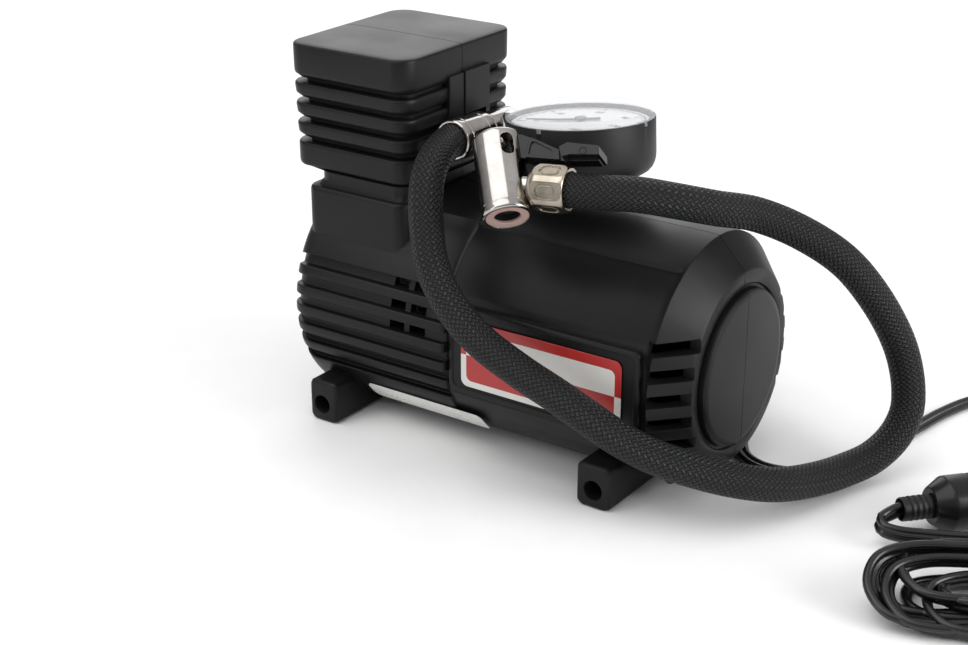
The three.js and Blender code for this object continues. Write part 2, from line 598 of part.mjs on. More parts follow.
gaugeAdd('gauge_needle', union([
  prism('z', polygon([[-21, -9.6], [-7.2, -6.2], [7.6, 3.2], [6.6, 5.2], [-8, -4.4]]), -4.4, -3.8),
  rod('z', 2.6, -4.4, -3.3, [0, 0], 20),
  rod('z', 1.1, -9, -3.9, [0, 0], 12),
]), 'needle');
const tubeShape = new THREE.Shape();
tubeShape.absarc(0, 0, 20, rad(-140), rad(130), false);
tubeShape.absarc(0, 0, 17, rad(130), rad(-140), true);
gaugeAdd('bourdon_tube', prism('z', tubeShape, -18, -12, 28), 'brass');

const pipe = union([
  rod('x', 5.4, -62.6, -GAUGE_R - 0.4, [0, -PIPE_DROP], 28),
  rod('y', 7.4, -11, 8, [-PIPE_DROP, TEE_X], 28),
  rod('x', 8, -GAUGE_R - 5, -GAUGE_R - 0.4, [0, -PIPE_DROP], 6),
]);
gaugeAdd('outlet_tee', pipe.subtract(rod('x', 2, -70, -GAUGE_R - 2, [0, -PIPE_DROP], 16)), 'chrome');
gaugeAdd('hose_root_ferrule', turned('y', [[0, -11.3], [6.6, -11.3], [8.4, -12.5], [8.7, -14], [8.7, -33.4], [8.2, -34.3], [7.4, -34.3],
  [7.4, -18], [0, -18]], [-PIPE_DROP, TEE_X], 36), 'chrome');

// ---------------------------------------------------------------- chuck

const chuckSide = CHUCK_SIDE.clone().addScaledVector(CHUCK_UP, -CHUCK_SIDE.dot(CHUCK_UP)).normalize();
const chuckFrame = frameOf(CHUCK_FOOT, chuckSide, CHUCK_UP.clone().cross(chuckSide), CHUCK_UP);
const chuckAdd = (name, body, finish) => add(name, moved(body, chuckFrame), finish);
const droop = new THREE.Matrix4().makeTranslation(0, 0, BARB_Z).multiply(new THREE.Matrix4().makeRotationY(rad(CHUCK_DROOP)));
const PIVOT = { x: 3.4, z: 30.2 };
const leverFrame = new THREE.Matrix4().makeTranslation(PIVOT.x, 0, PIVOT.z)
  .multiply(new THREE.Matrix4().makeRotationY(rad(CHUCK_DROOP)));

const chuckBody = turned('z', [[0, 0], [CHUCK_R - 0.9, 0], [CHUCK_R, 0.9], [CHUCK_R, CHUCK_H - 1.4], [CHUCK_R - 1.4, CHUCK_H], [0, CHUCK_H]], [0, 0], 48)
  .add(moved(rod('x', 4.4, 3, 17.6, [0, 0], 20), droop))
  .subtract(union([
    rod('z', 6.1, -1, 9, [0, 0], 32),
    rod('z', 4.6, 8, 22.4, [0, 0], 28),
    box(-2.6, 20, -3.2, 3.2, 21.6, 50),
    moved(rod('x', 1.8, 4, 20, [0, 0], 14), droop),
    rod('y', 1.75, -7.9, 7.9, [PIVOT.z, PIVOT.x], 16),
    moved(stack([{ z: 4, x0: -5, x1: 5, y0: -3.4, y1: 3.4, r: 3.2 }, { z: 14, x0: -5, x1: 5, y0: -3.4, y1: 3.4, r: 3.2 }]),
      new THREE.Matrix4().makeTranslation(0, 0, 28)
        .multiply(new THREE.Matrix4().makeRotationZ(rad(-38)))
        .multiply(new THREE.Matrix4().makeRotationY(rad(90)))),
  ]));
chuckAdd('chuck_body', chuckBody, 'chrome');
chuckAdd('chuck_gasket', ring('z', 5.8, 3, 0.5, 7.5, [0, 0], 28), 'gasket');
chuckAdd('chuck_plunger', union([rod('z', 4.2, 13, 20.4, [0, 0], 24), rod('z', 2.3, 9.5, 14, [0, 0], 16)]), 'brass');
chuckAdd('lever_pin', rod('y', 1.45, -7.6, 7.6, [PIVOT.z, PIVOT.x], 14), 'steel');

const leverArm = prism('y', polygon([
  [4.9, -1.4], [5.2, 6.4], [4, 11], [-0.3, 23.8], [-0.6, 30], [-1.4, 41], [-3.4, 41.6], [-4.6, 28],
  [-4.8, 7.2], [-5, 1], [-3.6, -3.4], [0, -5], [3.4, -3.7],
]), -2.8, 2.8);
const leverPad = prism('y', polygon([[-0.2, 25], [1.9, 28], [0.3, 42.6], [-3.6, 43.4], [-3.4, 30.6], [-4.4, 27]]), -6.2, 6.2);
const leverCheek = prism('y', polygon([[3.9, 10.8], [3.3, 13], [-0.5, 24.4], [-4.6, 25.6], [-4.7, 10.8]]), -3.9, 3.9);
const recessShape = [[2.4, 12.4], [1.8, 14.2], [-0.9, 22], [-3.3, 22], [-3.3, 12.4]];
const leverRecess = [-1, 1].map((side) => moved(prism('y', polygon(recessShape), -0.6, 0.6),
  new THREE.Matrix4().makeTranslation(0, side * 3.9, 0)));
const lever = union([leverArm, leverPad, leverCheek]).subtract(union([rod('y', 1.75, -10, 10, [0, 0], 16), ...leverRecess]));
chuckAdd('chuck_lever', moved(lever, leverFrame), 'blackplastic');

const crimpProfile = [[0, 14.6], [6.4, 14.6], [8.6, 15.8], [9.6, 17.6], [9.6, 29], [8.9, 31], [7.4, 31], [7.4, 20], [0, 20]];
const crimpFlats = prism('x', polygon([0, 1, 2, 3, 4, 5].map((i) => [8.85 / Math.cos(Math.PI / 6) * Math.cos(i * Math.PI / 3),
  8.85 / Math.cos(Math.PI / 6) * Math.sin(i * Math.PI / 3)])), 10, 40);
chuckAdd('chuck_ferrule', moved(turned('x', crimpProfile, [0, 0], 40).intersect(crimpFlats).subtract(rod('x', 4.7, 10, 18, [0, 0], 20)), droop), 'chrome');

// ---------------------------------------------------------------- hose

const local = (frame, x, y, z) => new THREE.Vector3(x, y, z).applyMatrix4(frame);
const barbFrame = chuckFrame.clone().multiply(droop);
const hoseRoute = [
  local(gaugeFrame, TEE_X, -19, -PIPE_DROP),
  local(gaugeFrame, TEE_X, -27, -PIPE_DROP),
  local(gaugeFrame, TEE_X, -35, -PIPE_DROP),
];
const HOSE_POINTS = [
  [-21, -42, 127.6], [-17.5, -52, 123], [-14.5, -58, 114], [-11.7, -61, 102.4], [-7, -64.5, 91.5], [1.8, -67, 79.5],
  [16.5, -67, 66.2], [35.9, -66, 56.5], [54, -65, 49.5], [68, -63.5, 43], [81, -61, 36.5], [93.5, -56.5, 31],
  [106, -49, 26], [118, -38, 20.5], [128, -22, 14.5], [135, -2, 10], [141, 18, 8], [147, 32, 10],
  [151.3, 43, 16.5], [152.6, 50, 25.2], [151, 53.5, 34], [148.2, 54.5, 44], [144.4, 52.5, 55.4], [137, 43.5, 74.4],
  [127, 32, 92], [113, 20, 104.6], [100.2, 5.5, 113.7], [91.6, -13.2, 119.9], [81.8, -25.9, 124.3],
  [69, -33.7, 126.6],
];
for (const [x, y, z] of HOSE_POINTS) hoseRoute.push(new THREE.Vector3(x, y, z));
hoseRoute.push(local(barbFrame, 42, 0, 0), local(barbFrame, 31, 0, 0), local(barbFrame, 20.4, 0, 0));

function tube(route, radius, step, sides) {
  const curve = new THREE.CatmullRomCurve3(route, false, 'centripetal');
  const outline = new THREE.Shape();
  for (let i = 0; i < sides; i += 1) {
    const a = i * 2 * Math.PI / sides;
    const method = i === 0 ? 'moveTo' : 'lineTo';
    outline[method](radius * Math.cos(a), radius * Math.sin(a));
  }
  const steps = Math.min(80, Math.ceil(curve.getLength() / step));
  const geometry = new THREE.ExtrudeGeometry(outline, { extrudePath: curve, steps, bevelEnabled: false });
  return { body: solid(geometry), length: curve.getLength() };
}

const hose = tube(hoseRoute, HOSE_R, 13, 10);
add('hose', hose.body, 'rubber');

// ---------------------------------------------------------------- cord and plug

add('cord_grommet', turned('y', [[0, 45], [4.4, 45], [4.4, PANEL_Y + 0.3], [6.5, PANEL_Y + 0.3], [6.5, PANEL_Y + 2], [5.4, PANEL_Y + 3],
  [3.4, PANEL_Y + 24], [0, PANEL_Y + 24]], [GROMMET.z, GROMMET.x], 24), 'rubber');

const CORD_POINTS = [
  [50, 74.4, 40], [50, 82, 39.6], [51.5, 92, 33], [55, 95, 20], [61, 89, 8.5], [69, 76, 3], [76, 62, 2.6], [80.5, 48, 2.6],
  [85, 36, 2.6], [90, 25, 2.6], [97, 16, 2.6], [107, 12, 2.6], [118, 14, 2.6], [127, 20, 2.6], [133.5, 31, 2.6],
  [138, 47, 2.6], [141.5, 66, 2.6], [145, 84.6, 2.6], [149, 106, 2.6], [156, 126, 2.6], [170, 142, 2.6],
  [192, 150, 2.6], [216, 148, 2.6], [240, 138, 2.6], [262, 122, 2.6], [279, 100, 2.6], [288, 78, 2.6], [291, 56, 2.6],
  [290.9, 29.7, 2.6],
];
const cordRoute = CORD_POINTS.map((p) => new THREE.Vector3(...p));
const cord = tube(cordRoute, CORD_R, 10, 8);
add('cord_run', cord.body, 'cord');

// Folded hank: one closed body with a slot through it.
const HANK = { x: 244, y: -23.2, length: 150, width: 44, slot: 12, height: 25, turn: 35 };
function hankBody() {
  const outer = roundedRect(-HANK.length / 2, HANK.length / 2, -HANK.width / 2, HANK.width / 2, HANK.width / 2 - 0.5);
  const inner = roundedRect(-HANK.length / 2 + 16, HANK.length / 2 - 16, -HANK.slot / 2, HANK.slot / 2, HANK.slot / 2 - 0.2);
  const body = prism('z', outer, 0.3, HANK.height, 6).subtract(prism('z', inner, -1, HANK.height + 1, 4));
  const place = new THREE.Matrix4().makeTranslation(HANK.x, HANK.y, 0).multiply(new THREE.Matrix4().makeRotationZ(rad(HANK.turn)));
  return moved(body, place);
}
add('cord_hank', hankBody(), 'cord');

const plugSide = new THREE.Vector3(0, 0, 1).cross(PLUG_DIR).normalize();
const plugFrame = frameOf(PLUG_REAR, PLUG_DIR, plugSide, new THREE.Vector3(0, 0, 1));
const plugAdd = (name, body, finish) => add(name, moved(body, plugFrame), finish);
const reliefGrooves = [];
for (let k = 0; k < 3; k += 1) reliefGrooves.push(ring('x', 7, 4.1, -10.4 + 3.2 * k, -8.9 + 3.2 * k, [0, 0], 24));
plugAdd('plug_strain_relief', turned('x', [[0, -12.6], [4.3, -12.6], [4.7, -11.8], [4.9, -0.4], [0, -0.4]], [0, 0], 28)
  .subtract(union(reliefGrooves)), 'rubber');
const plugBody = turned('x', [[0, 0], [7.6, 0], [10.6, 5.4], [11.2, 6.5], [11, 30], [10.4, 44], [11.3, 45.5], [11.3, 48], [10.2, 49],
  [10.2, 74], [0, 74]], [0, 0], 40).subtract(union([
  rod('x', 4.2, 20, 80, [0, 0], 24),
  ...[-1, 1].map((s) => box(55, 70, s < 0 ? -12 : 7, s < 0 ? -7 : 12, -2.6, 2.6)),
]));
plugAdd('plug_body', plugBody, 'blackplastic');
plugAdd('plug_tip_ring', turned('x', [[3.5, 74.3], [8.6, 74.3], [8.6, 77], [6.6, 80], [3.5, 80], [3.5, 74.3]], [0, 0], 32), 'blackplastic');
plugAdd('plug_pin', turned('x', [[0, 66], [3.8, 66], [3.8, 70], [3.1, 70], [3.1, 82], [2, 84.4], [0, 85]], [0, 0], 24), 'steel');
plugAdd('plug_fuse', rod('x', 3, 34, 62, [0, 0], 20), 'fuseglass');
const contact = (side) => prism('z', polygon([[56.2, 8.8 * side], [68.8, 8.8 * side], [65.4, 11.2 * side], [59.6, 11.2 * side]]), -2.1, 2.1);
plugAdd('side_contact_left', contact(1), 'steel');
plugAdd('side_contact_right', contact(-1), 'steel');

// Lead from the plug back to the hank.
const LEAD_POINTS = [
  [172.4, -10.6, 10.3], [170.4, -15.2, 8.9], [173, -18.2, 7.7], [178.5, -17.6, 6.9], [188, -13, 6.4], [202, -6, 6.4],
  [218, 1.4, 7.6], [231, 4.8, 9.8], [239.2, 3, 11.4],
];
const leadRoute = [local(plugFrame, -13, 0, 0), local(plugFrame, -15.6, 0, -0.4)];
for (const point of LEAD_POINTS) leadRoute.push(new THREE.Vector3(...point));
const lead = tube(leadRoute, CORD_R, 4, 8);
add('cord_lead', lead.body, 'cord');

export default group;
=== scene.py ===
import bmesh
import bpy
import math
from mathutils import Matrix, Vector


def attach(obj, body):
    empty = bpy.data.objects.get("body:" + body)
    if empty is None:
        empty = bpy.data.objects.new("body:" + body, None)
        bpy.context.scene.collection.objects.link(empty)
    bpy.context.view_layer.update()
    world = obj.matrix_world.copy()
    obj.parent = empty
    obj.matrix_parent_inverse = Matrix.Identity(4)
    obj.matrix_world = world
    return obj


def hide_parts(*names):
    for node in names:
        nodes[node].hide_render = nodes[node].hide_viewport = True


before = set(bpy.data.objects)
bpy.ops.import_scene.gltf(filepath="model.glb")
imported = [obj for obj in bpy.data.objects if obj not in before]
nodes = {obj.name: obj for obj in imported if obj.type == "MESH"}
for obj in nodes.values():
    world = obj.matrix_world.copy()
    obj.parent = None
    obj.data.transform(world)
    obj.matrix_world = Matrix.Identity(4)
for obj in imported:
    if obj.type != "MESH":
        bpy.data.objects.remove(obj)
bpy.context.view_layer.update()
scene = bpy.context.scene
MM = 0.001

# ---- camera, light, stage

camera_data = bpy.data.cameras.new("camera")
camera_data.sensor_width = 36
camera_data.lens = 66.29
camera = bpy.data.objects.new("camera", camera_data)
camera.location = (0.39346, -0.59784, 0.34445)
camera.rotation_euler = (math.radians(67.32), 0, math.radians(35.10))
scene.collection.objects.link(camera)
scene.camera = camera
scene.view_settings.view_transform = "Standard"

world = bpy.data.worlds.new("studio")
world.use_nodes = True
sky = world.node_tree.nodes
sky_at = sky.new("ShaderNodeTexCoord")
sky_parts = sky.new("ShaderNodeSeparateXYZ")
sky_ramp = sky.new("ShaderNodeValToRGB")
SKY_GREYS = ((0.0, 0.22), (0.75, 1.0))
for element, (at, grey) in zip(sky_ramp.color_ramp.elements, SKY_GREYS):
    element.position = at
    element.color = (grey, grey, grey, 1)
world.node_tree.links.new(sky_at.outputs["Generated"], sky_parts.inputs[0])
world.node_tree.links.new(sky_parts.outputs["Z"], sky_ramp.inputs["Fac"])
world.node_tree.links.new(sky_ramp.outputs["Color"], sky["Background"].inputs["Color"])
sky["Background"].inputs["Strength"].default_value = 0.8
scene.world = world


def lamp(name, location, target, size, power, size_y=None):
    data = bpy.data.lights.new(name, "AREA")
    data.shape = "RECTANGLE"
    data.size = size
    data.size_y = size_y or size
    data.energy = power
    obj = bpy.data.objects.new(name, data)
    obj.location = location
    obj.rotation_euler = (Vector(target) - Vector(location)).to_track_quat("-Z", "Y").to_euler()
    scene.collection.objects.link(obj)


lamp("key", (-0.3, -0.6, 1.3), (0, 0, 0.06), 1.3, 9)
lamp("end_fill", (1.15, 0.15, 0.42), (0.05, 0, 0.07), 0.7, 10)
lamp("front_strip", (-0.45, -1.0, 0.35), (0, 0, 0.08), 0.25, 1.8, 0.9)
lamp("back_top", (-0.95, 1.25, 0.8), (-0.02, 0, 0.1), 1.3, 8.5)

# ---- small tools


def link(obj):
    scene.collection.objects.link(obj)
    return obj


def mesh_object(name, points, faces):
    mesh = bpy.data.meshes.new(name)
    mesh.from_pydata([(x * MM, y * MM, z * MM) for x, y, z in points], [], faces)
    outward(mesh)
    return link(bpy.data.objects.new(name, mesh))


def outward(mesh):
    bm = bmesh.new()
    bm.from_mesh(mesh)
    bmesh.ops.recalc_face_normals(bm, faces=bm.faces)
    bm.to_mesh(mesh)
    bm.free()


def place(axis, u, v, w):
    """(u, v) across the axis in the order X, Y, Z, X and w along it."""
    return {"x": (w, u, v), "y": (v, w, u), "z": (u, v, w)}[axis]


def tube_faces(rings, size):
    """Four-sided faces between rings of size points each, and a cap at both ends."""
    faces = []
    for k in range(rings - 1):
        for i in range(size):
            a = k * size + i
            b = k * size + (i + 1) % size
            faces.append((a, b, b + size, a + size))
    faces.append(tuple(range(size - 1, -1, -1)))
    faces.append(tuple((rings - 1) * size + i for i in range(size)))
    return faces


def loft(name, rings):
    """Closed solid through rings of equally many points."""
    return mesh_object(name, [p for ring in rings for p in ring], tube_faces(len(rings), len(rings[0])))


def lathe(name, profile, axis="z", across=(0, 0), steps=96):
    """Profile of (radius, height): from axis to axis, or closed on itself."""
    points = []
    rows = []
    for r, h in profile:
        if r < 1e-6:
            rows.append([len(points)])
            points.append(place(axis, across[0], across[1], h))
            continue
        rows.append(list(range(len(points), len(points) + steps)))
        for i in range(steps):
            a = 2 * math.pi * i / steps
            points.append(place(axis, across[0] + r * math.cos(a), across[1] + r * math.sin(a), h))
    if profile[0] == profile[-1] and profile[0][0] > 1e-6:
        rows[-1] = rows[0]
        points = points[:-steps]
    faces = []
    for low, high in zip(rows, rows[1:]):
        if len(low) == 1 and len(high) == 1:
            continue
        for i in range(steps):
            j = (i + 1) % steps
            if len(low) == 1:
                faces.append((low[0], high[i], high[j]))
            elif len(high) == 1:
                faces.append((low[i], low[j], high[0]))
            else:
                faces.append((low[i], low[j], high[j], high[i]))
    return mesh_object(name, points, faces)


def prism(name, axis, outline, low, high):
    return loft(name, [[place(axis, u, v, w) for u, v in outline] for w in (low, high)])


def block(name, x0, x1, y0, y1, z0, z1):
    return prism(name, "z", [(x0, y0), (x1, y0), (x1, y1), (x0, y1)], z0, z1)


def disc(name, axis, r, low, high, across=(0, 0), steps=64):
    return lathe(name, [(0, low), (r, low), (r, high), (0, high)], axis, across, steps)


def rounded(x0, x1, y0, y1, r, steps=8):
    outline = []
    corners = [(x1 - r, y1 - r, 0), (x0 + r, y1 - r, 1), (x0 + r, y0 + r, 2), (x1 - r, y0 + r, 3)]
    for cx, cy, quarter in corners:
        for i in range(steps + 1):
            a = (quarter + i / steps) * math.pi / 2
            outline.append((cx + r * math.cos(a), cy + r * math.sin(a)))
    return outline


def soften(outline, r, steps=3):
    """Polygon with each corner cut round at radius r where its edges leave room."""
    result = []
    count = len(outline)
    for i in range(count):
        before = Vector(outline[i - 1])
        here = Vector(outline[i])
        after = Vector(outline[(i + 1) % count])
        p = before - here
        q = after - here
        turn = math.pi - p.angle(q)
        if turn < math.radians(18):
            result.append(tuple(here))
            continue
        cut = min(r * math.tan(turn / 2), 0.45 * p.length, 0.45 * q.length)
        start = here + p.normalized() * cut
        end = here + q.normalized() * cut
        for k in range(steps + 1):
            t = k / steps
            result.append(tuple((1 - t) ** 2 * start + 2 * t * (1 - t) * here + t * t * end))
    return result


def bake(obj):
    graph = bpy.context.evaluated_depsgraph_get()
    mesh = bpy.data.meshes.new_from_object(obj.evaluated_get(graph))
    obj.modifiers.clear()
    obj.data = mesh
    return obj


def combine(base, others, operation):
    for other in others:
        step = base.modifiers.new("step", "BOOLEAN")
        step.operation = operation
        step.solver = "MANIFOLD"
        step.object = other
    bake(base)
    for other in others:
        bpy.data.objects.remove(other)
    return base


def union(base, *others):
    return combine(base, others, "UNION")


def cut(base, *others):
    return combine(base, others, "DIFFERENCE")


def moved(obj, matrix):
    """Turns and moves the mesh itself, with the matrix in millimetres."""
    scaled = matrix.copy()
    scaled.translation = matrix.translation * MM
    obj.data.transform(scaled)
    return obj


def smooth(obj, angle=35):
    obj.data.shade_smooth()
    obj.data.set_sharp_from_angle(angle=math.radians(angle))
    return obj


def flat_merge(obj):
    """Coplanar triangles that the booleans leave are joined again."""
    bm = bmesh.new()
    bm.from_mesh(obj.data)
    bmesh.ops.remove_doubles(bm, verts=bm.verts, dist=2e-6)
    bmesh.ops.dissolve_limit(bm, angle_limit=math.radians(0.4), verts=bm.verts, edges=bm.edges)
    bm.to_mesh(obj.data)
    bm.free()
    return obj


def round_edges(obj, width, angle=38, segments=2):
    step = obj.modifiers.new("edges", "BEVEL")
    step.width = width * MM
    step.segments = segments
    step.limit_method = "ANGLE"
    step.angle_limit = math.radians(angle)
    step.use_clamp_overlap = True
    step.miter_outer = "MITER_ARC"
    weigh = obj.modifiers.new("shade", "WEIGHTED_NORMAL")
    weigh.keep_sharp = False
    obj.data.shade_smooth()
    return bake(obj)


# ---- materials


class Finish:
    """A Principled material and short ways to feed its colour, roughness and bump."""

    def __init__(self, name, colour, roughness, metallic=0.0, **sockets):
        self.material = bpy.data.materials.new(name)
        self.material.use_nodes = True
        self.tree = self.material.node_tree
        self.shader = self.tree.nodes["Principled BSDF"]
        self.set("Base Color", (*colour, 1))
        self.set("Roughness", roughness)
        self.set("Metallic", metallic)
        for socket, value in sockets.items():
            self.set(socket.replace("_", " "), value)
        self.height = None

    def set(self, socket, value):
        self.shader.inputs[socket].default_value = value

    def node(self, kind, sockets=None, **settings):
        node = self.tree.nodes.new(kind)
        for key, value in settings.items():
            setattr(node, key, value)
        for socket, value in (sockets or {}).items():
            node.inputs[socket].default_value = value
        return node

    def wire(self, a, b):
        self.tree.links.new(a, b)

    def value(self, operation, a, b=0.0, c=0.0):
        node = self.node("ShaderNodeMath", operation=operation)
        for socket, item in zip(node.inputs, (a, b, c)):
            if isinstance(item, (int, float)):
                socket.default_value = item
            else:
                self.wire(item, socket)
        return node.outputs[0]

    def plus(self, a, b):
        return self.value("ADD", a, b)

    def minus(self, a, b):
        return self.value("SUBTRACT", a, b)

    def times(self, a, b):
        return self.value("MULTIPLY", a, b)

    def where(self, kind="Object"):
        return self.node("ShaderNodeTexCoord").outputs[kind]

    def noise(self, scale, detail):
        noise = self.node("ShaderNodeTexNoise", {"Scale": scale, "Detail": detail, "Roughness": 0.55})
        self.wire(self.where(), noise.inputs["Vector"])
        return noise.outputs["Fac"]

    def ramp(self, source, stops):
        ramp = self.node("ShaderNodeValToRGB")
        elements = ramp.color_ramp.elements
        while len(elements) < len(stops):
            elements.new(0.5)
        for element, (at, colour) in zip(elements, stops):
            element.position = at
            element.color = (*colour, 1)
        self.wire(source, ramp.inputs["Fac"])
        return ramp.outputs["Color"]

    def span(self, source, low, high, from_low=0.3, from_high=0.7):
        limits = {"From Min": from_low, "From Max": from_high, "To Min": low, "To Max": high}
        node = self.node("ShaderNodeMapRange", limits)
        self.wire(source, node.inputs["Value"])
        return node.outputs["Result"]

    def colour(self, source):
        self.wire(source, self.shader.inputs["Base Color"])
        return self

    def roughness(self, source):
        self.wire(source, self.shader.inputs["Roughness"])
        return self

    def bump(self, source, distance, strength=1.0):
        bump = self.node("ShaderNodeBump", {"Strength": strength, "Distance": distance * MM})
        self.wire(source, bump.inputs["Height"])
        if self.height:
            self.wire(self.height, bump.inputs["Normal"])
        self.height = bump.outputs["Normal"]
        self.wire(self.height, self.shader.inputs["Normal"])
        return self

    def edge(self, radius):
        bevel = self.node("ShaderNodeBevel", {"Radius": radius * MM}, samples=4)
        self.height = bevel.outputs["Normal"]
        self.wire(self.height, self.shader.inputs["Normal"])
        return self


def grained(name, low, high, rough_low, rough_high, grain, depth, edge=0.35, blotch=28, metallic=0.0,
        **sockets):
    """Moulded or cast surface: faint blotches in colour and gloss, fine grain in the bump."""
    finish = Finish(name, low, rough_low, metallic, **sockets)
    if edge:
        finish.edge(edge)
    wide = finish.noise(blotch, 3)
    fine = finish.noise(grain, 2)
    finish.colour(finish.ramp(wide, [(0.3, low), (0.7, high)]))
    mixed = finish.plus(finish.times(wide, 0.7), finish.times(fine, 0.3))
    finish.roughness(finish.span(mixed, rough_low, rough_high, 0.35, 0.65))
    finish.bump(fine, depth)
    return finish


SHELL = grained("shell_black", (0.005, 0.0051, 0.0055), (0.008, 0.0081, 0.0087), 0.36, 0.46, 2600, 0.018,
                edge=0.4, Specular_IOR_Level=0.22)
GLOSS = grained("gloss_black", (0.006, 0.006, 0.0065), (0.009, 0.009, 0.0096), 0.22, 0.32, 1500, 0.008,
    edge=0.3, Specular_IOR_Level=0.3)
RUBBER = grained("rubber_black", (0.006, 0.006, 0.0064), (0.01, 0.01, 0.0104), 0.42, 0.58, 1800, 0.02,
                 Specular_IOR_Level=0.35)
GAUGE_BLACK = grained("gauge_black", (0.009, 0.0092, 0.0094), (0.0125, 0.0128, 0.013), 0.42, 0.52, 3000, 0.02,
                      Specular_IOR_Level=0.25)
SCREW = grained("zinc_screw", (0.34, 0.34, 0.35), (0.5, 0.5, 0.51), 0.28, 0.42, 900, 0.02, edge=0.2,
    metallic=1)
ALLOY = grained("cast_alloy", (0.52, 0.53, 0.54), (0.62, 0.63, 0.64), 0.42, 0.58, 900, 0.05, metallic=1)
STEEL = grained("plain_steel", (0.5, 0.51, 0.52), (0.6, 0.61, 0.62), 0.26, 0.38, 1200, 0.01, metallic=1)
BRASS = grained("brass", (0.62, 0.46, 0.2), (0.74, 0.57, 0.28), 0.26, 0.4, 900, 0.01, metallic=1)
COPPER = grained("copper", (0.55, 0.26, 0.13), (0.68, 0.36, 0.19), 0.3, 0.45, 700, 0.03, metallic=1)
MAGNET = grained("ferrite", (0.06, 0.06, 0.063), (0.1, 0.1, 0.1), 0.6, 0.75, 1200, 0.03)
CARBON = grained("carbon", (0.02, 0.02, 0.02), (0.04, 0.04, 0.04), 0.6, 0.8, 1500, 0.03)
ACETAL = grained("acetal", (0.74, 0.71, 0.62), (0.8, 0.77, 0.68), 0.38, 0.5, 1500, 0.01)
GASKET = grained("pink_seal", (0.38, 0.25, 0.22), (0.46, 0.32, 0.29), 0.5, 0.65, 1300, 0.02)
NEEDLE = grained("needle_black", (0.015, 0.015, 0.016), (0.025, 0.025, 0.026), 0.35, 0.45, 2500, 0.004,
    edge=0.1)
FLOOR = grained("floor_pale", (0.88, 0.88, 0.88), (0.91, 0.91, 0.91), 0.7, 0.8, 300, 0.01, edge=0)


def plated(name, low, high, rough_low, rough_high):
    """Bright nickel: long soft wipe marks and small pits."""
    finish = Finish(name, high, rough_low, 1.0)
    finish.edge(0.3)
    wipe = finish.noise(60, 4)
    pits = finish.noise(900, 2)
    finish.colour(finish.ramp(wipe, [(0.32, low), (0.66, high)]))
    finish.roughness(finish.span(wipe, rough_low, rough_high))
    finish.bump(finish.noise(140, 2), 0.05, 0.5)
    finish.bump(pits, 0.006, 0.6)
    return finish


CHROME = plated("nickel_plate", (0.33, 0.31, 0.295), (0.52, 0.495, 0.475), 0.07, 0.18)
WARM_NICKEL = plated("warm_nickel", (0.25, 0.215, 0.17), (0.47, 0.42, 0.345), 0.13, 0.26)

# Textile braid: two families of slanting strands that pass over and under each other.
STRANDS = 18.0
BRAID = Finish("hose_braid", (0.004, 0.004, 0.005), 0.4, Specular_IOR_Level=0.3)
uv = BRAID.node("ShaderNodeSeparateXYZ")
BRAID.wire(BRAID.where("UV"), uv.inputs[0])


def strands(sign):
    """(height of one family of strands, its place across the weave)"""
    place_across = BRAID.plus(BRAID.times(uv.outputs["X"], STRANDS),
        BRAID.times(uv.outputs["Y"], STRANDS * sign))
    wave = BRAID.value("SINE", BRAID.times(place_across, 2 * math.pi))
    return BRAID.value("MULTIPLY_ADD", wave, 0.5, 0.5), place_across


def alternate(across):
    """Changes sign from each strand to the next."""
    return BRAID.value("SINE", BRAID.times(BRAID.plus(across, 0.25), math.pi))


rising, rising_place = strands(1)
falling, falling_place = strands(-1)
crossing = BRAID.times(alternate(rising_place), alternate(falling_place))
over = BRAID.span(crossing, 0, 1, -0.25, 0.25)
weave = BRAID.plus(BRAID.times(rising, over), BRAID.times(falling, BRAID.minus(1.0, over)))
thread = BRAID.noise(5200, 2)
braid_shade_and_thread = BRAID.plus(BRAID.times(weave, 0.8), BRAID.times(thread, 0.2))
# Colour follows the weave's height: darker in the gaps between strands and lighter on their crowns, which is
# painted shade; the fine thread noise is the yarn's own tone.
BRAID.colour(BRAID.ramp(braid_shade_and_thread, [(0.25, (0.0012, 0.0012, 0.0014)), (0.6, (0.004, 0.0042, 0.0046)),
                                    (0.95, (0.02, 0.021, 0.023))]))
BRAID.roughness(BRAID.span(weave, 0.65, 0.36, 0.1, 0.9))
BRAID.bump(weave, 0.5)
BRAID.bump(thread, 0.05, 0.5)

FLEX = grained("twin_flex", (0.004, 0.004, 0.0043), (0.007, 0.007, 0.0075), 0.22, 0.34, 1400, 0.012, edge=0)

# The whitish base colour under alpha is a painted sheen on the clear lens, standing in for the reflection
# that alpha dims.
LENS = Finish("clear_lens", (0.7, 0.71, 0.74), 0.1, Alpha=0.22, Specular_IOR_Level=0.25)
LENS.roughness(LENS.span(LENS.noise(40, 3), 0.08, 0.14))
LENS.bump(LENS.noise(30, 2), 0.03, 0.4)
FUSE_GLASS = Finish("fuse_glass", (0.9, 0.94, 0.94), 0.05, Transmission_Weight=0.8)
FUSE_GLASS.roughness(FUSE_GLASS.span(FUSE_GLASS.noise(60, 3), 0.03, 0.1))


def paint(obj, finish):
    obj.data.materials.clear()
    obj.data.materials.append(finish.material)
    return obj


def piece(obj, body, finish, slot, *replaced):
    paint(obj, finish)
    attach(obj, body)
    if replaced:
        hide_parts(*replaced)
    return obj


def fixed(obj, frame_at, angle, finish, slot, *replaced):
    """Part of the housing body, made at its own origin and moved to its place."""
    piece(smooth(moved(obj, frame_at), angle), "housing", finish, slot, *replaced)


# ---- sweeps for hose and flex


def between(p, q, at_p, at_q, t):
    return p * ((at_q - t) / (at_q - at_p)) + q * ((t - at_p) / (at_q - at_p))


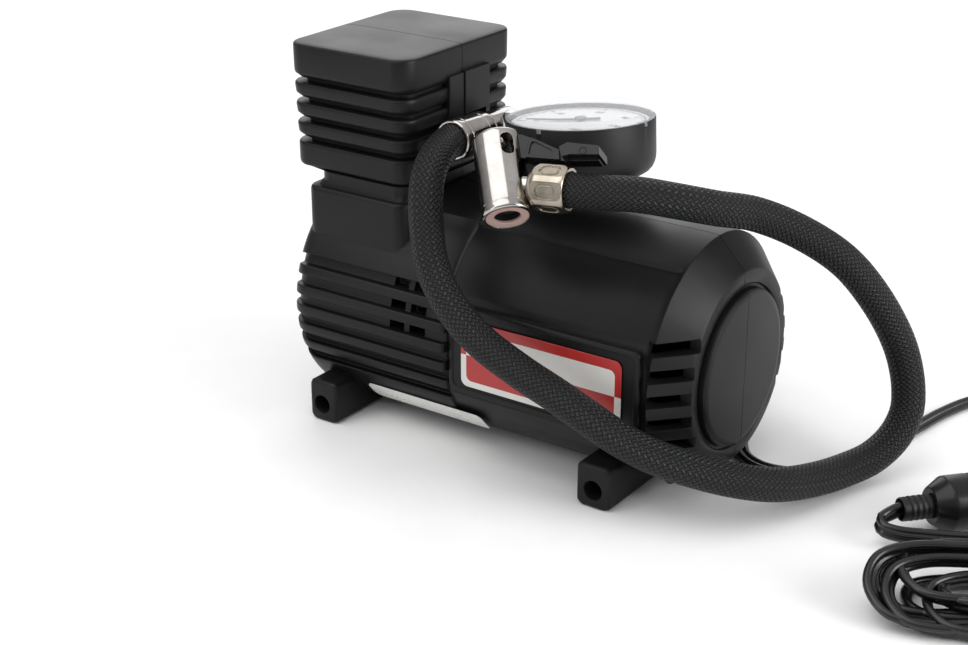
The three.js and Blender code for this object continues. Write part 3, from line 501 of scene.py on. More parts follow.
def catmull(points, step):
    """Even points on a centripetal Catmull-Rom curve through the given ones."""
    pts = [Vector(p) for p in points]
    pts = [2 * pts[0] - pts[1]] + pts + [2 * pts[-1] - pts[-2]]
    dense = []
    for a, b, c, d in zip(pts, pts[1:], pts[2:], pts[3:]):
        t0 = 0.0
        t1 = t0 + max((b - a).length, 1e-6) ** 0.5
        t2 = t1 + max((c - b).length, 1e-6) ** 0.5
        t3 = t2 + max((d - c).length, 1e-6) ** 0.5
        for k in range(24):
            t = t1 + (t2 - t1) * k / 24
            a1 = between(a, b, t0, t1, t)
            a2 = between(b, c, t1, t2, t)
            a3 = between(c, d, t2, t3, t)
            b1 = between(a1, a2, t0, t2, t)
            b2 = between(a2, a3, t1, t3, t)
            dense.append(between(b1, b2, t1, t2, t))
    dense.append(pts[-2])
    travel = [0.0]
    for p, q in zip(dense, dense[1:]):
        travel.append(travel[-1] + (q - p).length)
    count = max(2, round(travel[-1] / step))
    result = []
    k = 0
    for i in range(count + 1):
        goal = travel[-1] * i / count
        while k < len(travel) - 2 and travel[k + 1] < goal:
            k += 1
        share = (goal - travel[k]) / max(travel[k + 1] - travel[k], 1e-9)
        result.append(dense[k].lerp(dense[k + 1], share))
    return result, travel[-1]


def sweep(name, path, section, around, sides=None):
    """Tube along path. section is the outline as (across, up); sides gives a wished up direction."""
    count = len(path)
    tangents = []
    for i in range(count):
        tangents.append((path[min(i + 1, count - 1)] - path[max(i - 1, 0)]).normalized())
    up = Vector((0, 0, 1))
    if abs(tangents[0].dot(up)) > 0.9:
        up = Vector((0, 1, 0))
    up = (up - tangents[0] * up.dot(tangents[0])).normalized()
    points = []
    travel = 0.0
    lengths = []
    for i, (p, t) in enumerate(zip(path, tangents)):
        if i:
            up = tangents[i - 1].rotation_difference(t) @ up
            travel += (path[i] - path[i - 1]).length
        if sides:
            wish = sides(i, t, up)
            wish = wish - t * wish.dot(t)
            if wish.length > 1e-3:
                up = up.lerp(wish.normalized(), 0.35 if i else 1)
        up = (up - t * up.dot(t)).normalized()
        across = t.cross(up)
        lengths.append(travel)
        for a, b in section:
            points.append(p + across * a + up * b)
    size = len(section)
    mesh = bpy.data.meshes.new(name)
    mesh.from_pydata([tuple(p * MM) for p in points], [], tube_faces(count, size))
    layer = mesh.uv_layers.new(name="UVMap")
    ring_faces = (count - 1) * size
    for face in mesh.polygons:
        if face.index >= ring_faces:
            continue
        k, i = divmod(face.index, size)
        for loop, (di, dk) in zip(face.loop_indices, ((0, 0), (1, 0), (1, 1), (0, 1))):
            layer.data[loop].uv = ((i + di) / size, lengths[k + dk] / around)
    outward(mesh)
    return link(bpy.data.objects.new(name, mesh))


def circle(r, steps):
    return [(r * math.cos(2 * math.pi * i / steps),
        r * math.sin(2 * math.pi * i / steps)) for i in range(steps)]


# ---- places shared with the CAD

BARREL_Z = 50
BARREL_R = 54
GAUGE = Vector((15, 10, 141.5))
PIPE_DROP = 10.5
TEE_X = -41.4
gauge_up = Vector((-math.sin(math.radians(4.8)), math.sin(math.radians(3.2)), 1)).normalized()
gauge_x = Vector((0, 1, 0)).cross(gauge_up).normalized()


def frame_of(origin, x_axis, y_axis, z_axis):
    turn = Matrix((x_axis, y_axis, z_axis)).transposed().to_4x4()
    turn.translation = origin
    return turn


gauge_frame = frame_of(GAUGE, gauge_x, gauge_up.cross(gauge_x), gauge_up)
chuck_up = Vector((-0.51, 0.52, 0.69)).normalized()
chuck_side = Vector((0.856, 0.387, 0.345))
chuck_side = (chuck_side - chuck_up * chuck_side.dot(chuck_up)).normalized()
CHUCK_FOOT = Vector((22.1, -53.4, 113.4))
BARB_Z = 15
PIVOT = Vector((3.4, 0, 30.2))
chuck_frame = frame_of(CHUCK_FOOT, chuck_side, chuck_up.cross(chuck_side), chuck_up)
droop_turn = Matrix.Rotation(math.radians(22), 4, "Y")
droop = Matrix.Translation((0, 0, BARB_Z)) @ droop_turn
barb_frame = chuck_frame @ droop
lever_frame = chuck_frame @ Matrix.Translation(PIVOT) @ droop_turn
plug_dir = Vector((0.66, 0.75, 0)).normalized()
UP = Vector((0, 0, 1))
PLUG_REAR = Vector((183.5, 2.2, 11.6))
plug_frame = frame_of(PLUG_REAR, plug_dir, UP.cross(plug_dir), UP)

# ---- hose

hose_points = [gauge_frame @ Vector((TEE_X, y, -PIPE_DROP)) for y in (-19, -27, -35)]
hose_points += [Vector(p) for p in [(-21, -42, 127.6), (-17.5, -52, 123), (-14.5, -58, 114),
    (-11.7, -61, 102.4), (-7, -64.5, 91.5), (1.8, -67, 79.5), (16.5, -67, 66.2), (35.9, -66, 56.5),
    (54, -65, 49.5), (68, -63.5, 43), (81, -61, 36.5), (93.5, -56.5, 31), (106, -49, 26), (118, -38, 20.5),
    (128, -22, 14.5), (135, -2, 10), (141, 18, 8), (147, 32, 10), (151.3, 43, 16.5), (152.6, 50, 25.2),
    (151, 53.5, 34), (148.2, 54.5, 44), (144.4, 52.5, 55.4), (137, 43.5, 74.4), (127, 32, 92),
    (113, 20, 104.6), (100.2, 5.5, 113.7), (91.6, -13.2, 119.9), (81.8, -25.9, 124.3), (69, -33.7, 126.6)]]
hose_points += [barb_frame @ Vector((x, 0, 0)) for x in (42, 31, 20.4)]
HOSE_R = 7
HOSE_STEP = 3.0
hose_path, hose_length = catmull(hose_points, HOSE_STEP)
hose = sweep("hose_braided", hose_path, circle(HOSE_R, 40), 2 * math.pi * HOSE_R)
smooth(hose, 60)
piece(hose, "housing", BRAID, "braid", "hose")

# ---- flat twin flex

run_points = [Vector(p) for p in [(50, 74.4, 40), (50, 82, 39.6), (51.5, 92, 33), (55, 95, 20),
    (61, 89, 8.5), (69, 76, 2.8), (76, 62, 1.8), (80.5, 48, 1.8), (85, 36, 1.8), (90, 25, 1.8),
    (97, 16, 1.8), (107, 12, 1.8), (118, 14, 1.8), (127, 20, 1.8), (133.5, 31, 1.8), (138, 47, 1.8),
    (141.5, 66, 1.8), (145, 84.6, 1.8), (149, 106, 1.8), (156, 126, 1.8), (170, 142, 1.8), (192, 150, 1.8),
    (216, 148, 1.8), (240, 138, 1.8), (262, 122, 1.8), (279, 100, 1.8), (286, 78, 2.2), (284, 56, 3.0),
    (272, 36, 3.6)]]
ALONG = Vector((math.cos(math.radians(35)), math.sin(math.radians(35)), 0))
BACK = Vector((-ALONG.y, ALONG.x, 0))


def hank_point(u, v, z):
    return ALONG * u + BACK * v + UP * z


# Each turn: left and right end along the hank, then (back, height) of its far and of its near run.
TURNS = [
    (131.0, 257.5, (-147.2, 3.7), (-172.9, 3.7)),
    (116.8, 259.0, (-147.4, 18.0), (-176.5, 3.7)),
    (121.4, 260.5, (-144.0, 12.4), (-169.3, 3.7)),
    (129.8, 256.0, (-140.6, 15.0), (-171.0, 10.4)),
    (122.6, 258.5, (-151.0, 14.8), (-180.1, 3.8)),
    (136.4, 260.0, (-154.5, 9.6), (-183.4, 3.9)),
    (142.4, 257.0, (-151.0, 5.6), (-175.2, 10.4)),
]
LEAD_OUT = (-137.0, 11.5)


def half_turn(u, sign, start, end):
    """Five points round an end of the hank from one run to the next."""
    r = math.hypot(end[0] - start[0], end[1] - start[1]) / 2
    points = []
    for step in range(5):
        a = math.pi * step / 4
        share = (1 - math.cos(a)) / 2
        points.append(hank_point(u + sign * r * (math.sin(a) - 1), start[0] + (end[0] - start[0]) * share,
                                 start[1] + (end[1] - start[1]) * share))
    return points


def straight(u0, u1, row):
    return [hank_point(u0 + (u1 - u0) * share, *row) for share in (0.22, 0.5, 0.78)]


hank_points = []
for k, (left, right, far, near) in enumerate(TURNS):
    following = TURNS[k + 1][2] if k + 1 < len(TURNS) else LEAD_OUT
    hank_points += straight(right - 16, left + 16, far)
    hank_points += half_turn(left, -1, far, near)
    hank_points += straight(left + 16, right - 16, near)
    hank_points += half_turn(right, 1, near, following)
for place_in_hank in ((228, -137.0, 11.6), (212, -135.6, 11.2), (199, -131.8, 10.2)):
    hank_points.append(hank_point(*place_in_hank))
lead_points = [Vector(p) for p in [(218, 1.4, 7.6), (202, -6, 6.4), (188, -13, 6.4), (178.5, -17.6, 6.9),
    (173, -18.2, 7.7), (170.4, -15.2, 8.9), (172.4, -10.6, 10.3)]]
lead_points += [plug_frame @ Vector((x, 0, z)) for x, z in ((-14.4, -0.4), (-11.3, 0), (-8.2, 0))]
flex_points = run_points + hank_points + lead_points
FLEX_STEP = 2.2
flex_path, flex_length = catmull(flex_points, FLEX_STEP)

# Two round lobes side by side, 6.6 by 3.3 mm. Each lobe's arc stops 35 degrees short of the groove.
# Each run of points: the side its lobe is on, then its first step, the step after its last and the stride.
LOBE = 1.65
LOBE_STEPS = 6
ARC = math.radians(145)
LOBE_RUNS = ((1, 0, 7, 1), (-1, 6, -7, -1), (1, -6, 0, 1))
twin = []
for lobe, first, stop, step in LOBE_RUNS:
    for k in range(first, stop, step):
        b = ARC * k / LOBE_STEPS
        twin.append((LOBE * math.sin(b), lobe * LOBE * (1 + math.cos(b))))

hank_lean = BACK * -math.sin(math.radians(22)) + UP * math.cos(math.radians(22))


def ease(x):
    x = min(max(x, 0), 1)
    return x * x * (3 - 2 * x)


def nearest_index(path, point):
    return min(range(len(path)), key=lambda i: (path[i] - point).length)


hank_begin = nearest_index(flex_path, run_points[-1])


def flex_side(i, tangent, up):
    """Wished direction of the broad side: flat on the floor, on edge in the hank, turned at its left end."""
    flat = UP.cross(tangent)
    if flat.length < 0.35:
        return up
    flat.normalize()
    if flat.dot(up) < 0:
        flat = -flat
    u = flex_path[i].dot(ALONG)
    v = flex_path[i].dot(BACK)
    in_hank = i > hank_begin and v < -136
    standing = ease((i - hank_begin + 26) / 26)
    left_end = ease((152 - u) / 30) if in_hank else 0
    edge = hank_lean - ALONG * 1.15 * left_end if in_hank else UP
    if edge.dot(up) < -0.3 and standing < 1:
        edge = -edge
    return flat * (1 - standing) + edge * standing


flex = sweep("flex_cord", flex_path, twin, 2 * math.pi * 3, flex_side)
smooth(flex, 60)

# Band that ties the hank.
BAND_CORNERS = ((-186.2, 0), (-134.2, 0), (-134.2, 17.5), (-140.5, 22.6), (-149.8, 22.6), (-186.2, 9.4))
BAND_MIDDLE = -160
BAND_THICKNESS = 0.7
band = []
for inset in (0.0, BAND_THICKNESS):
    corners = []
    for v, z in BAND_CORNERS:
        corners.append((v + (inset if v < BAND_MIDDLE else -inset), z + (inset if z < 5 else -inset)))
    band.append(soften(corners, 3.2, 5))
band_points = []
band_faces = []
count = len(band[0])
for u in (229.6, 230.0, 237.4, 237.8):
    thin = 0.25 if u in (229.6, 237.8) else 0.0
    for ring, grow in ((band[0], -thin), (band[1], thin)):
        for v, z in ring:
            outward_v = grow * (1 if v > BAND_MIDDLE else -1)
            height = max(z + (grow if z > 5 else -grow), 0.02)
            band_points.append(tuple(hank_point(u, v + outward_v, height)))
for k in range(3):
    for i in range(count):
        j = (i + 1) % count
        for ring in (0, 1):
            a = (k * 2 + ring) * count
            b = ((k + 1) * 2 + ring) * count
            band_faces.append((a + i, a + j, b + j, b + i))
for k in (0, 3):
    for i in range(count):
        j = (i + 1) % count
        a = k * 2 * count
        band_faces.append((a + i, a + j, a + count + j, a + count + i))
tie = mesh_object("hank_tie", band_points, band_faces)
smooth(tie, 50)
piece(tie, "housing", RUBBER, "rubber")

piece(flex, "housing", FLEX, "cord", "cord_run", "cord_hank", "cord_lead")

# ---- floor

FLOOR_REACH = 4000
FLOOR_Z = -0.2
floor_corners = [(x * FLOOR_REACH, y * FLOOR_REACH, FLOOR_Z) for x, y in ((-1, -1), (1, -1), (1, 1), (-1, 1))]
floor = mesh_object("floor", floor_corners, [(0, 1, 2, 3)])
paint(floor, FLOOR)

# ---- housing

TOP_R = 54.4
SIDE_R = 53.6
PLAIN_R = 52.2
STRIP_END = 61.2
FLAT_Y = 47.4
GROOVES = [71.2 - 8.85 * k for k in range(6)]
GROOVE_HALF = 2.3
GROOVE_R = 50.6
VENT_HALF = 2.6


def polar(r, degrees):
    a = math.radians(degrees)
    return (r * math.cos(a), BARREL_Z + r * math.sin(a))


def on_round(r, z):
    """Point at height z on the circle of radius r round the barrel's axis."""
    return (math.sqrt(r ** 2 - (z - BARREL_Z) ** 2), z)


def both_sides(half):
    """Closed outline from the points of one side, which run from the top to the bottom."""
    return half + [(-y, z) for y, z in reversed(half) if abs(y) > 1e-6]


def strip_half():
    """The raised strip along the top, with its slanting edge."""
    top = [polar(TOP_R, a) for a in (*range(90, 65, -4), 63, STRIP_END)]
    return top + [polar(SIDE_R, STRIP_END - 2.6)]


def ribbed_outline():
    outline = strip_half() + [polar(SIDE_R, a) for a in range(55, 30, -4)] + [polar(SIDE_R, 28)]
    for k, centre in enumerate(GROOVES):
        high_z = centre + GROOVE_HALF
        low_z = centre - GROOVE_HALF
        outline += [on_round(SIDE_R, high_z), on_round(GROOVE_R, high_z), on_round(GROOVE_R, low_z),
                    on_round(SIDE_R, low_z)]
        if k + 1 < len(GROOVES):
            outline.append(on_round(SIDE_R, (low_z + GROOVES[k + 1] + GROOVE_HALF) / 2))
    outline += [polar(SIDE_R, a) for a in (*range(-32, -60, -4), *range(-60, -91, -6))]
    rounded_half = soften([(0, TOP_R + 60)] + outline + [(0, -60)], 0.75, 3)
    return both_sides([p for p in rounded_half if -20 < p[1] < 110 and p[0] >= 0])


def plain_outline(blend):
    """Outline of the right part. blend 0 has the side flats, blend 1 is round."""
    half = []
    for y, z in strip_half()[:-1] + [polar(PLAIN_R, STRIP_END - 1.2)]:
        r = math.hypot(y, z - BARREL_Z)
        scale = 1 + blend * (BARREL_R / r - 1)
        half.append((y * scale, BARREL_Z + (z - BARREL_Z) * scale))
    side_r = PLAIN_R + blend * (BARREL_R - PLAIN_R)
    half += [polar(side_r, a) for a in (*range(55, 30, -4), 28)]
    for z in (73.3, 72.9, 66, 60, 55, 50, 45, 40, 34, 28.6, 28.2):
        y = on_round(side_r, z)[0]
        inner = min(y, FLAT_Y) if 28.4 < z < 73.1 else y
        half.append((inner + blend * (y - inner), z))
    half += [polar(side_r, a) for a in (-26, -29, *range(-32, -60, -4), *range(-60, -91, -6))]
    return both_sides(half)


def ring_at(x, outline, scale=1.0, floor_z=6.0):
    return [(x, y * scale, max(BARREL_Z + (z - BARREL_Z) * scale, floor_z)) for y, z in outline]


def ribbed_part():
    outline = ribbed_outline()
    rings = [ring_at(-94, outline, 0.83)]
    for k in range(9):
        a = math.pi / 2 * k / 8
        rings.append(ring_at(-94 + 10 * (1 - math.cos(a)), outline, 0.85 + 0.15 * math.sin(a)))
    rings += [ring_at(-60, outline), ring_at(-12.2, outline), ring_at(-11.1, outline, 0.992),
              ring_at(-10.5, outline, 0.975)]
    return loft("shell_ribbed", rings)


def plain_part():
    flat = plain_outline(0)
    rings = [ring_at(-10.9, flat), ring_at(30, flat), ring_at(83.2, flat)]
    for t in (0.15, 0.4, 0.7, 0.92, 1.0):
        rings.append(ring_at(83.2 + 4.2 * t, plain_outline(t)))
    full = plain_outline(1)
    rim = ((99.0, 41.55), (99.4, 41.0), (99.6, 40.4), (99.6, 35.6), (99.3, 35.0), (98.2, 34.6), (98.0, 34.2),
           (98.0, 33.4), (98.3, 33.1), (100.9, 32.9), (101.6, 32.4), (101.95, 31.4), (102, 30), (102, 12))
    rings += [ring_at(x, full, r / BARREL_R) for x, r in rim]
    return loft("shell_plain", rings)


def tower_level(z, inset, x0=-102, y=40, r=9):
    x_low = x0 + inset
    x_high = -38 - inset * 0.6
    corner = max(r - inset * 0.6, 2)
    return [(px, py, z) for px, py in rounded(x_low, x_high, -y + inset, y - inset, corner, 10)]


def tower_part():
    saddle = ((66, 0), (101.2, 0), (102.2, 0.25), (102.9, 0.9), (103.1, 1.8), (103.2, 3.2))
    neck = ((105.2, 0.6), (109.3, 0.6))
    shoulder = ((109.6, 3.0), (110.1, 1.6), (110.8, 1.15), (112, 1.0))
    groove = ((-2.5, 0), (-1.7, 0.12), (-1.2, 0.45), (-0.95, 1.1), (-0.9, 2.0), (-0.85, 4.6), (0.95, 4.6),
              (1.0, 2.3), (1.3, 1.9), (2.7, 0.35), (3.1, 0.08), (3.8, 0))
    crown = ((152, 0.12), (162.2, 0), (162.8, 0.15), (163.25, 0.6), (163.5, 1.4), (163.7, 4), (163.85, 9),
             (163.95, 16))
    levels = [tower_level(z, inset, x0=-90.8, y=43, r=6) for z, inset in saddle]
    levels += [tower_level(z, inset, x0=-88.2) for z, inset in neck]
    levels += [tower_level(z, inset) for z, inset in shoulder]
    for k in (3, 2, 1, 0):
        z = 147.6 - 8.73 * k
        taper = 0.2 + 0.25 * k
        levels += [tower_level(z + dz, taper + inset) for dz, inset in groove]
    levels += [tower_level(z, inset) for z, inset in crown]
    tower = loft("shell_tower", levels)
    front = [(-46, -10.3), (-37.3, -10.3), (-36.9, -9.9), (-36.9, 1), (-46, 1)]
    rear = [(-46, 0), (-36.7, 0), (-36.3, 0.4), (-36.3, 17.9), (-36.7, 18.3), (-46, 18.3)]
    pads = union(prism("pad_front", "z", front, 112, 151.4), prism("pad_rear", "z", rear, 112, 151.8))
    cut(pads, block("notch", -50, -30, -3, 15.2, 100, 133.2))
    return union(tower, pads)


def foot_part(x0, x1):
    end = ((55.1, 0), (55.9, 0.35), (56.3, 0.8), (56.5, 1.5))
    rings = []
    for y, inset in [(-y, inset) for y, inset in reversed(end)] + list(end):
        rings.append([(x, y, z) for x, z in rounded(x0 + inset, x1 - inset, inset * 0.5, 19 - inset, 2.8, 6)])
    return loft("foot", rings)


def hollow():
    profile = [(0, -91), (43, -91), (48, -86), (48, -8.5), (49, -6.5), (49, 85), (36.5, 95.2), (0, 95.2)]
    inside = lathe("inside", profile, "x", (0, BARREL_Z), 72)
    combine(inside, [block("limit", -200, 200, -45.5, 45.5, 8.8, 200)], "INTERSECT")
    tower = loft("inside_tower", [[(x, y, z) for x, y in rounded(x0, -45.2, -33, 33, 4, 4)]
                                  for z, x0 in ((60, -85), (112.5, -85), (114.5, -94.4), (160.5, -94.4))])
    return union(inside, tower)


# Each: x, z, the side its head is on, the seat of the head and the reach of the boss inside, if it has one.
SCREW_HOLES = [
    (-74.3, 7.8, -1, 24, None),
    (66, 7.8, -1, 24, None),
    (-70, 154.2, 1, 20, 37),
    (60, 91, 1, 14, 26),
]


def shell_cutters():
    cutters = []
    for side in (-1, 1):
        def span(low, high):
            return (low, high) if side > 0 else (-high, -low)
        for k in range(5):
            z = 71.3 - 10.2 * k
            cutters.append(block("vent", 83.9, 94.6, *span(30, 70), z - VENT_HALF, z + VENT_HALF))
            reach = on_round(41, z)[0] - 1.1
            cutters.append(block("vent_end", 94.2, 110, *span(reach, 70), z - VENT_HALF, z + VENT_HALF))
        for z in GROOVES[:3]:
            for x0, x1 in ((-40, -32.4), (-29.6, -21.5)):
                cutters.append(block("slot", x0, x1, *span(36, 70), z - 2.2, z + 2.2))
    cutters.append(disc("pipe_hole", "x", 6.6, -50, -30, (9.3, 126.1)))
    cutters.append(disc("cord_hole", "y", 4.8, 40, 60, (40, 50)))
    for x, z, side, seat, boss in SCREW_HOLES:
        low, high = (-90, -seat) if side < 0 else (seat, 90)
        cutters.append(disc("screw_well", "y", 4.1, low, high, (z, x), 40))
        if boss is None:
            lip = [(0, 48), (4.1, 48), (4.1, 56.1), (5.2, 58), (0, 58)]
            cutters.append(lathe("screw_lip", [(r, side * y) for r, y in lip], "y", (z, x), 40))
        else:
            cutters.append(disc("screw_bore", "y", 1.9, 0, 30, (z, x), 40))
    return cutters


shell = union(ribbed_part(), plain_part(), tower_part(), foot_part(-81.1, -66), foot_part(58.1, 74.2))
panels = []
for side in (-1, 1):
    rings = []
    for y, inset in ((46, 0), (49.2, 0), (49.75, 0.25), (50, 0.8), (50, 2.2), (49.5, 2.5)):
        outline = rounded(30 + inset, 69 - inset, -10 + inset, 81.7 - inset, 3, 8)
        rings.append([(x, side * y, z) for z, x in outline])
    panels.append(loft("panel", rings))
shell = union(shell, *panels)
shell = cut(shell, hollow())
bosses = [disc("boss", "y", 5.6, -boss, boss, (z, x), 40) for x, z, _, _, boss in SCREW_HOLES if boss]
shell = union(shell, *bosses)
shell = cut(shell, *shell_cutters())
rear = shell.copy()
rear.data = shell.data.copy()
link(rear)
combine(shell, [block("half", -300, 300, -300, -0.15, -10, 300)], "INTERSECT")
combine(rear, [block("half", -300, 300, 0.15, 300, -10, 300)], "INTERSECT")
shell.name = "housing_front"
rear.name = "housing_rear"
for half, node in ((shell, "front_shell"), (rear, "rear_shell")):
    flat_merge(half)
    smooth(half, 30)
    piece(half, "housing", SHELL, "shell", node)

# ---- labels

LABEL = Finish("label_print", (0.7, 0.68, 0.65), 0.34)
LABEL_X = (-3, 74)
LABEL_Z = (34, 63.5)
LABEL_SPLIT = 48.2
RED_DARK = (0.36, 0.022, 0.02)
RED = (0.44, 0.03, 0.027)
PAPER_DARK = (0.62, 0.6, 0.57)
PAPER = (0.7, 0.68, 0.65)


def label_colours():
    """Two fields: a red frame round white above, a white frame round red below."""
    at = LABEL.node("ShaderNodeSeparateXYZ")
    LABEL.wire(LABEL.where(), at.inputs[0])
    x = LABEL.times(at.outputs["X"], 1000.0)
    z = LABEL.times(at.outputs["Z"], 1000.0)
    x0, x1 = LABEL_X[0] + 2.7, LABEL_X[1] - 2.9
    z0, z1 = LABEL_Z[0] + 2.7, LABEL_Z[1] - 4.3
    corner = 2.6
    over = []
    for source, low, high in ((x, x0, x1), (z, z0, z1)):
        away = LABEL.value("ABSOLUTE", LABEL.minus(source, (low + high) / 2))
        over.append(LABEL.value("MAXIMUM", LABEL.minus(away, (high - low) / 2 - corner), 0.0))
    reach = LABEL.value("SQRT", LABEL.plus(LABEL.times(over[0], over[0]), LABEL.times(over[1], over[1])))
    inside = LABEL.span(reach, 1, 0, corner - 0.06, corner + 0.06)
    upper = LABEL.span(z, 0, 1, LABEL_SPLIT - 0.06, LABEL_SPLIT + 0.06)
    red = LABEL.value("ABSOLUTE", LABEL.minus(inside, upper))
    ink = LABEL.plus(LABEL.times(red, 0.88), LABEL.times(LABEL.noise(90, 4), 0.12))
    stops = [(0.02, PAPER_DARK), (0.1, PAPER), (0.46, PAPER), (0.54, RED_DARK), (0.91, RED_DARK), (0.99, RED)]
    return LABEL.ramp(ink, stops)


LABEL.colour(label_colours())
LABEL.roughness(LABEL.span(LABEL.noise(60, 3), 0.28, 0.4))
LABEL.bump(LABEL.noise(45, 2), 0.06, 0.5)
STICKER = grained("blank_sticker", (0.74, 0.73, 0.7), (0.82, 0.81, 0.79), 0.24, 0.36, 1100, 0.01, edge=0.1)

rings = []
for y, inset in ((-50.08, 0), (-50.33, 0), (-50.4, 0.08)):
    rings.append([(x, y, z) for x, z in rounded(LABEL_X[0] + inset, LABEL_X[1] - inset, LABEL_Z[0] + inset,
                                               LABEL_Z[1] - inset, 3.2 - inset, 8)])
piece(smooth(loft("label_front", rings), 40), "housing", LABEL, "label", "front_label")

LOWER_X = (-59, 2)
LOWER_CORNER = 3.0
rings = []
for step in range(33):
    x = LOWER_X[0] + (LOWER_X[1] - LOWER_X[0]) * (1 - math.cos(math.pi * step / 32)) / 2
    end = min(x - LOWER_X[0], LOWER_X[1] - x)
    missing = max(LOWER_CORNER - end, 0)
    trim = LOWER_CORNER - math.sqrt(max(LOWER_CORNER ** 2 - missing ** 2, 0)) if missing else 0
    low = math.radians(36.5) + trim / BARREL_R
    high = math.radians(50) - trim / BARREL_R
    ring = []
    for r, order in ((BARREL_R + 0.1, range(15)), (BARREL_R + 0.4, range(14, -1, -1))):
        for i in order:
            a = low + (high - low) * i / 14
            ring.append((x, -r * math.cos(a), BARREL_Z - r * math.sin(a)))
    rings.append(ring)
piece(smooth(loft("label_lower", rings), 40), "housing", STICKER, "blank", "lower_label")

# ---- gauge

quarter_turns = [k * math.pi / 2 for k in range(4)]


def gauge_block(name, r0, r1, width, z0, z1, angle):
    obj = block(name, r0, r1, -width / 2, width / 2, z0, z1)
    return moved(obj, Matrix.Rotation(angle, 4, "Z"))


case = lathe("gauge_housing", [(0, -26.5), (23.8, -26.5), (25.6, -26.35), (27.2, -25.9), (28.7, -24.95),
    (29.9, -23.6), (30.7, -22.0), (31.15, -20.2), (31.3, -18.2), (31.3, -3.4), (31.15, -3.1), (29.5, -3.1),
    (29.5, -20.5), (26.3, -23.9), (0, -23.9)], steps=160)
cut(case, *[gauge_block("notch", 30.4, 33, 2.2, -5.0, -2, a) for a in quarter_turns])
fixed(case, gauge_frame, 30, GAUGE_BLACK, "blackplastic", "gauge_case")

lens = lathe("gauge_window", [(0, -2.3), (29.9, -2.3), (30.0, -3.0), (31.1, -3.0), (31.35, -2.7),
    (31.35, -0.75), (31.1, -0.3), (30.6, -0.02), (30.0, 0.05), (29.3, 0.02), (28.9, -0.12), (28.5, -0.12),
    (20, 0.12), (10, 0.28), (0, 0.33)], steps=160)
lens = union(lens, *[gauge_block("tab", 30.5, 31.45, 1.9, -4.7, -2.6, a) for a in quarter_turns])
fixed(lens, gauge_frame, 25, LENS, "clear", "gauge_lens")

DIAL = grained("dial_white", (0.8, 0.8, 0.8), (0.85, 0.85, 0.85), 0.42, 0.55, 1300, 0.004, edge=0)
dial = lathe("gauge_face", [(1.6, -5.6), (29.1, -5.6), (29.1, -4.95), (29.05, -4.9), (1.6, -4.9),
    (1.6, -5.6)], steps=120)
fixed(dial, gauge_frame, 30, DIAL, "dial", "gauge_dial")

DIAL_START = math.radians(204.6)
DIAL_SWEEP = math.radians(270)
DIAL_UP = DIAL_START - DIAL_SWEEP / 2
SCALE_STEPS = 30
SCALE_TOP = 150
SCALE_R = 26.6
DIGIT_R = 18.6
PRINT_Z = (-4.92, -4.84)
scale_parts = []
for k in range(SCALE_STEPS + 1):
    a = DIAL_START - DIAL_SWEEP * k / SCALE_STEPS
    long_tick = k % 6 == 0
    half = 0.28 if long_tick else 0.14
    inner = 22.6 if long_tick else (24.2 if k % 3 == 0 else 25.0)
    tick = block("tick", inner, SCALE_R, -half, half, *PRINT_Z)
    scale_parts.append(moved(tick, Matrix.Rotation(a, 4, "Z")))
    if long_tick:
        data = bpy.data.curves.new("digits", "FONT")
        data.body = str(SCALE_TOP * k // SCALE_STEPS)
        data.size = 4.6 * MM
        data.extrude = 0.03 * MM
        data.align_x = "CENTER"
        data.align_y = "CENTER"
        text = link(bpy.data.objects.new("digits", data))
        graph = bpy.context.evaluated_depsgraph_get()
        digit_mesh = bpy.data.meshes.new_from_object(text.evaluated_get(graph))
        digits = link(bpy.data.objects.new("digits", digit_mesh))
        bpy.data.objects.remove(text)
        turn = Matrix.Translation((DIGIT_R * math.cos(a), DIGIT_R * math.sin(a), -4.87))
        scale_parts.append(moved(digits, turn @ Matrix.Rotation(DIAL_UP - math.pi / 2, 4, "Z")))
arc = []
for r, order in ((SCALE_R, range(61)), (26.95, range(60, -1, -1))):
    for i in order:
        a = DIAL_START - DIAL_SWEEP * i / 60
        arc.append((r * math.cos(a), r * math.sin(a)))
scale_parts.append(prism("arc", "z", arc, *PRINT_Z))
bm = bmesh.new()
for part in scale_parts:
    bm.from_mesh(part.data)
    bpy.data.objects.remove(part)
scale_mesh = bpy.data.meshes.new("gauge_scale")
bm.to_mesh(scale_mesh)
bm.free()
scale = link(bpy.data.objects.new("gauge_scale", scale_mesh))
INK = grained("dial_ink", (0.03, 0.03, 0.032), (0.045, 0.045, 0.05), 0.5, 0.6, 1800, 0.002, edge=0)
piece(moved(scale, gauge_frame), "housing", INK, "needle")

# ---- outlet tee and hose root

across_tee = (-PIPE_DROP, TEE_X)
along_tee = (0, -PIPE_DROP)
tee_profile = [(0, -62.6), (4.9, -62.6), (5.4, -62.1), (5.4, -52), (5.15, -51.7), (5.15, -50.9), (5.4, -50.6),
               (5.4, -31.7), (0, -31.7)]
tee = lathe("tee_metal", tee_profile, "x", along_tee, 72)
hub_profile = [(0, -11), (6.8, -11), (7.25, -10.7), (7.4, -10.1), (7.4, 7.0), (7.2, 7.6), (6.6, 8), (0, 8)]
tee = union(tee, lathe("tee_hub", hub_profile, "y", across_tee, 72))
nut_profile = [(0, -36.3), (6.9, -36.3), (8, -35.6), (8, -32.4), (6.9, -31.7), (0, -31.7)]
nut = lathe("nut", nut_profile, "x", along_tee, 72)
hexagon = [(y, z - PIPE_DROP) for y, z in circle(8, 6)]
combine(nut, [prism("hex", "x", hexagon, -40, -30)], "INTERSECT")
tee = cut(union(tee, nut), disc("bore", "x", 2, -70, -33.3, along_tee, 32))
fixed(flat_merge(tee), gauge_frame, 28, CHROME, "chrome", "outlet_tee")

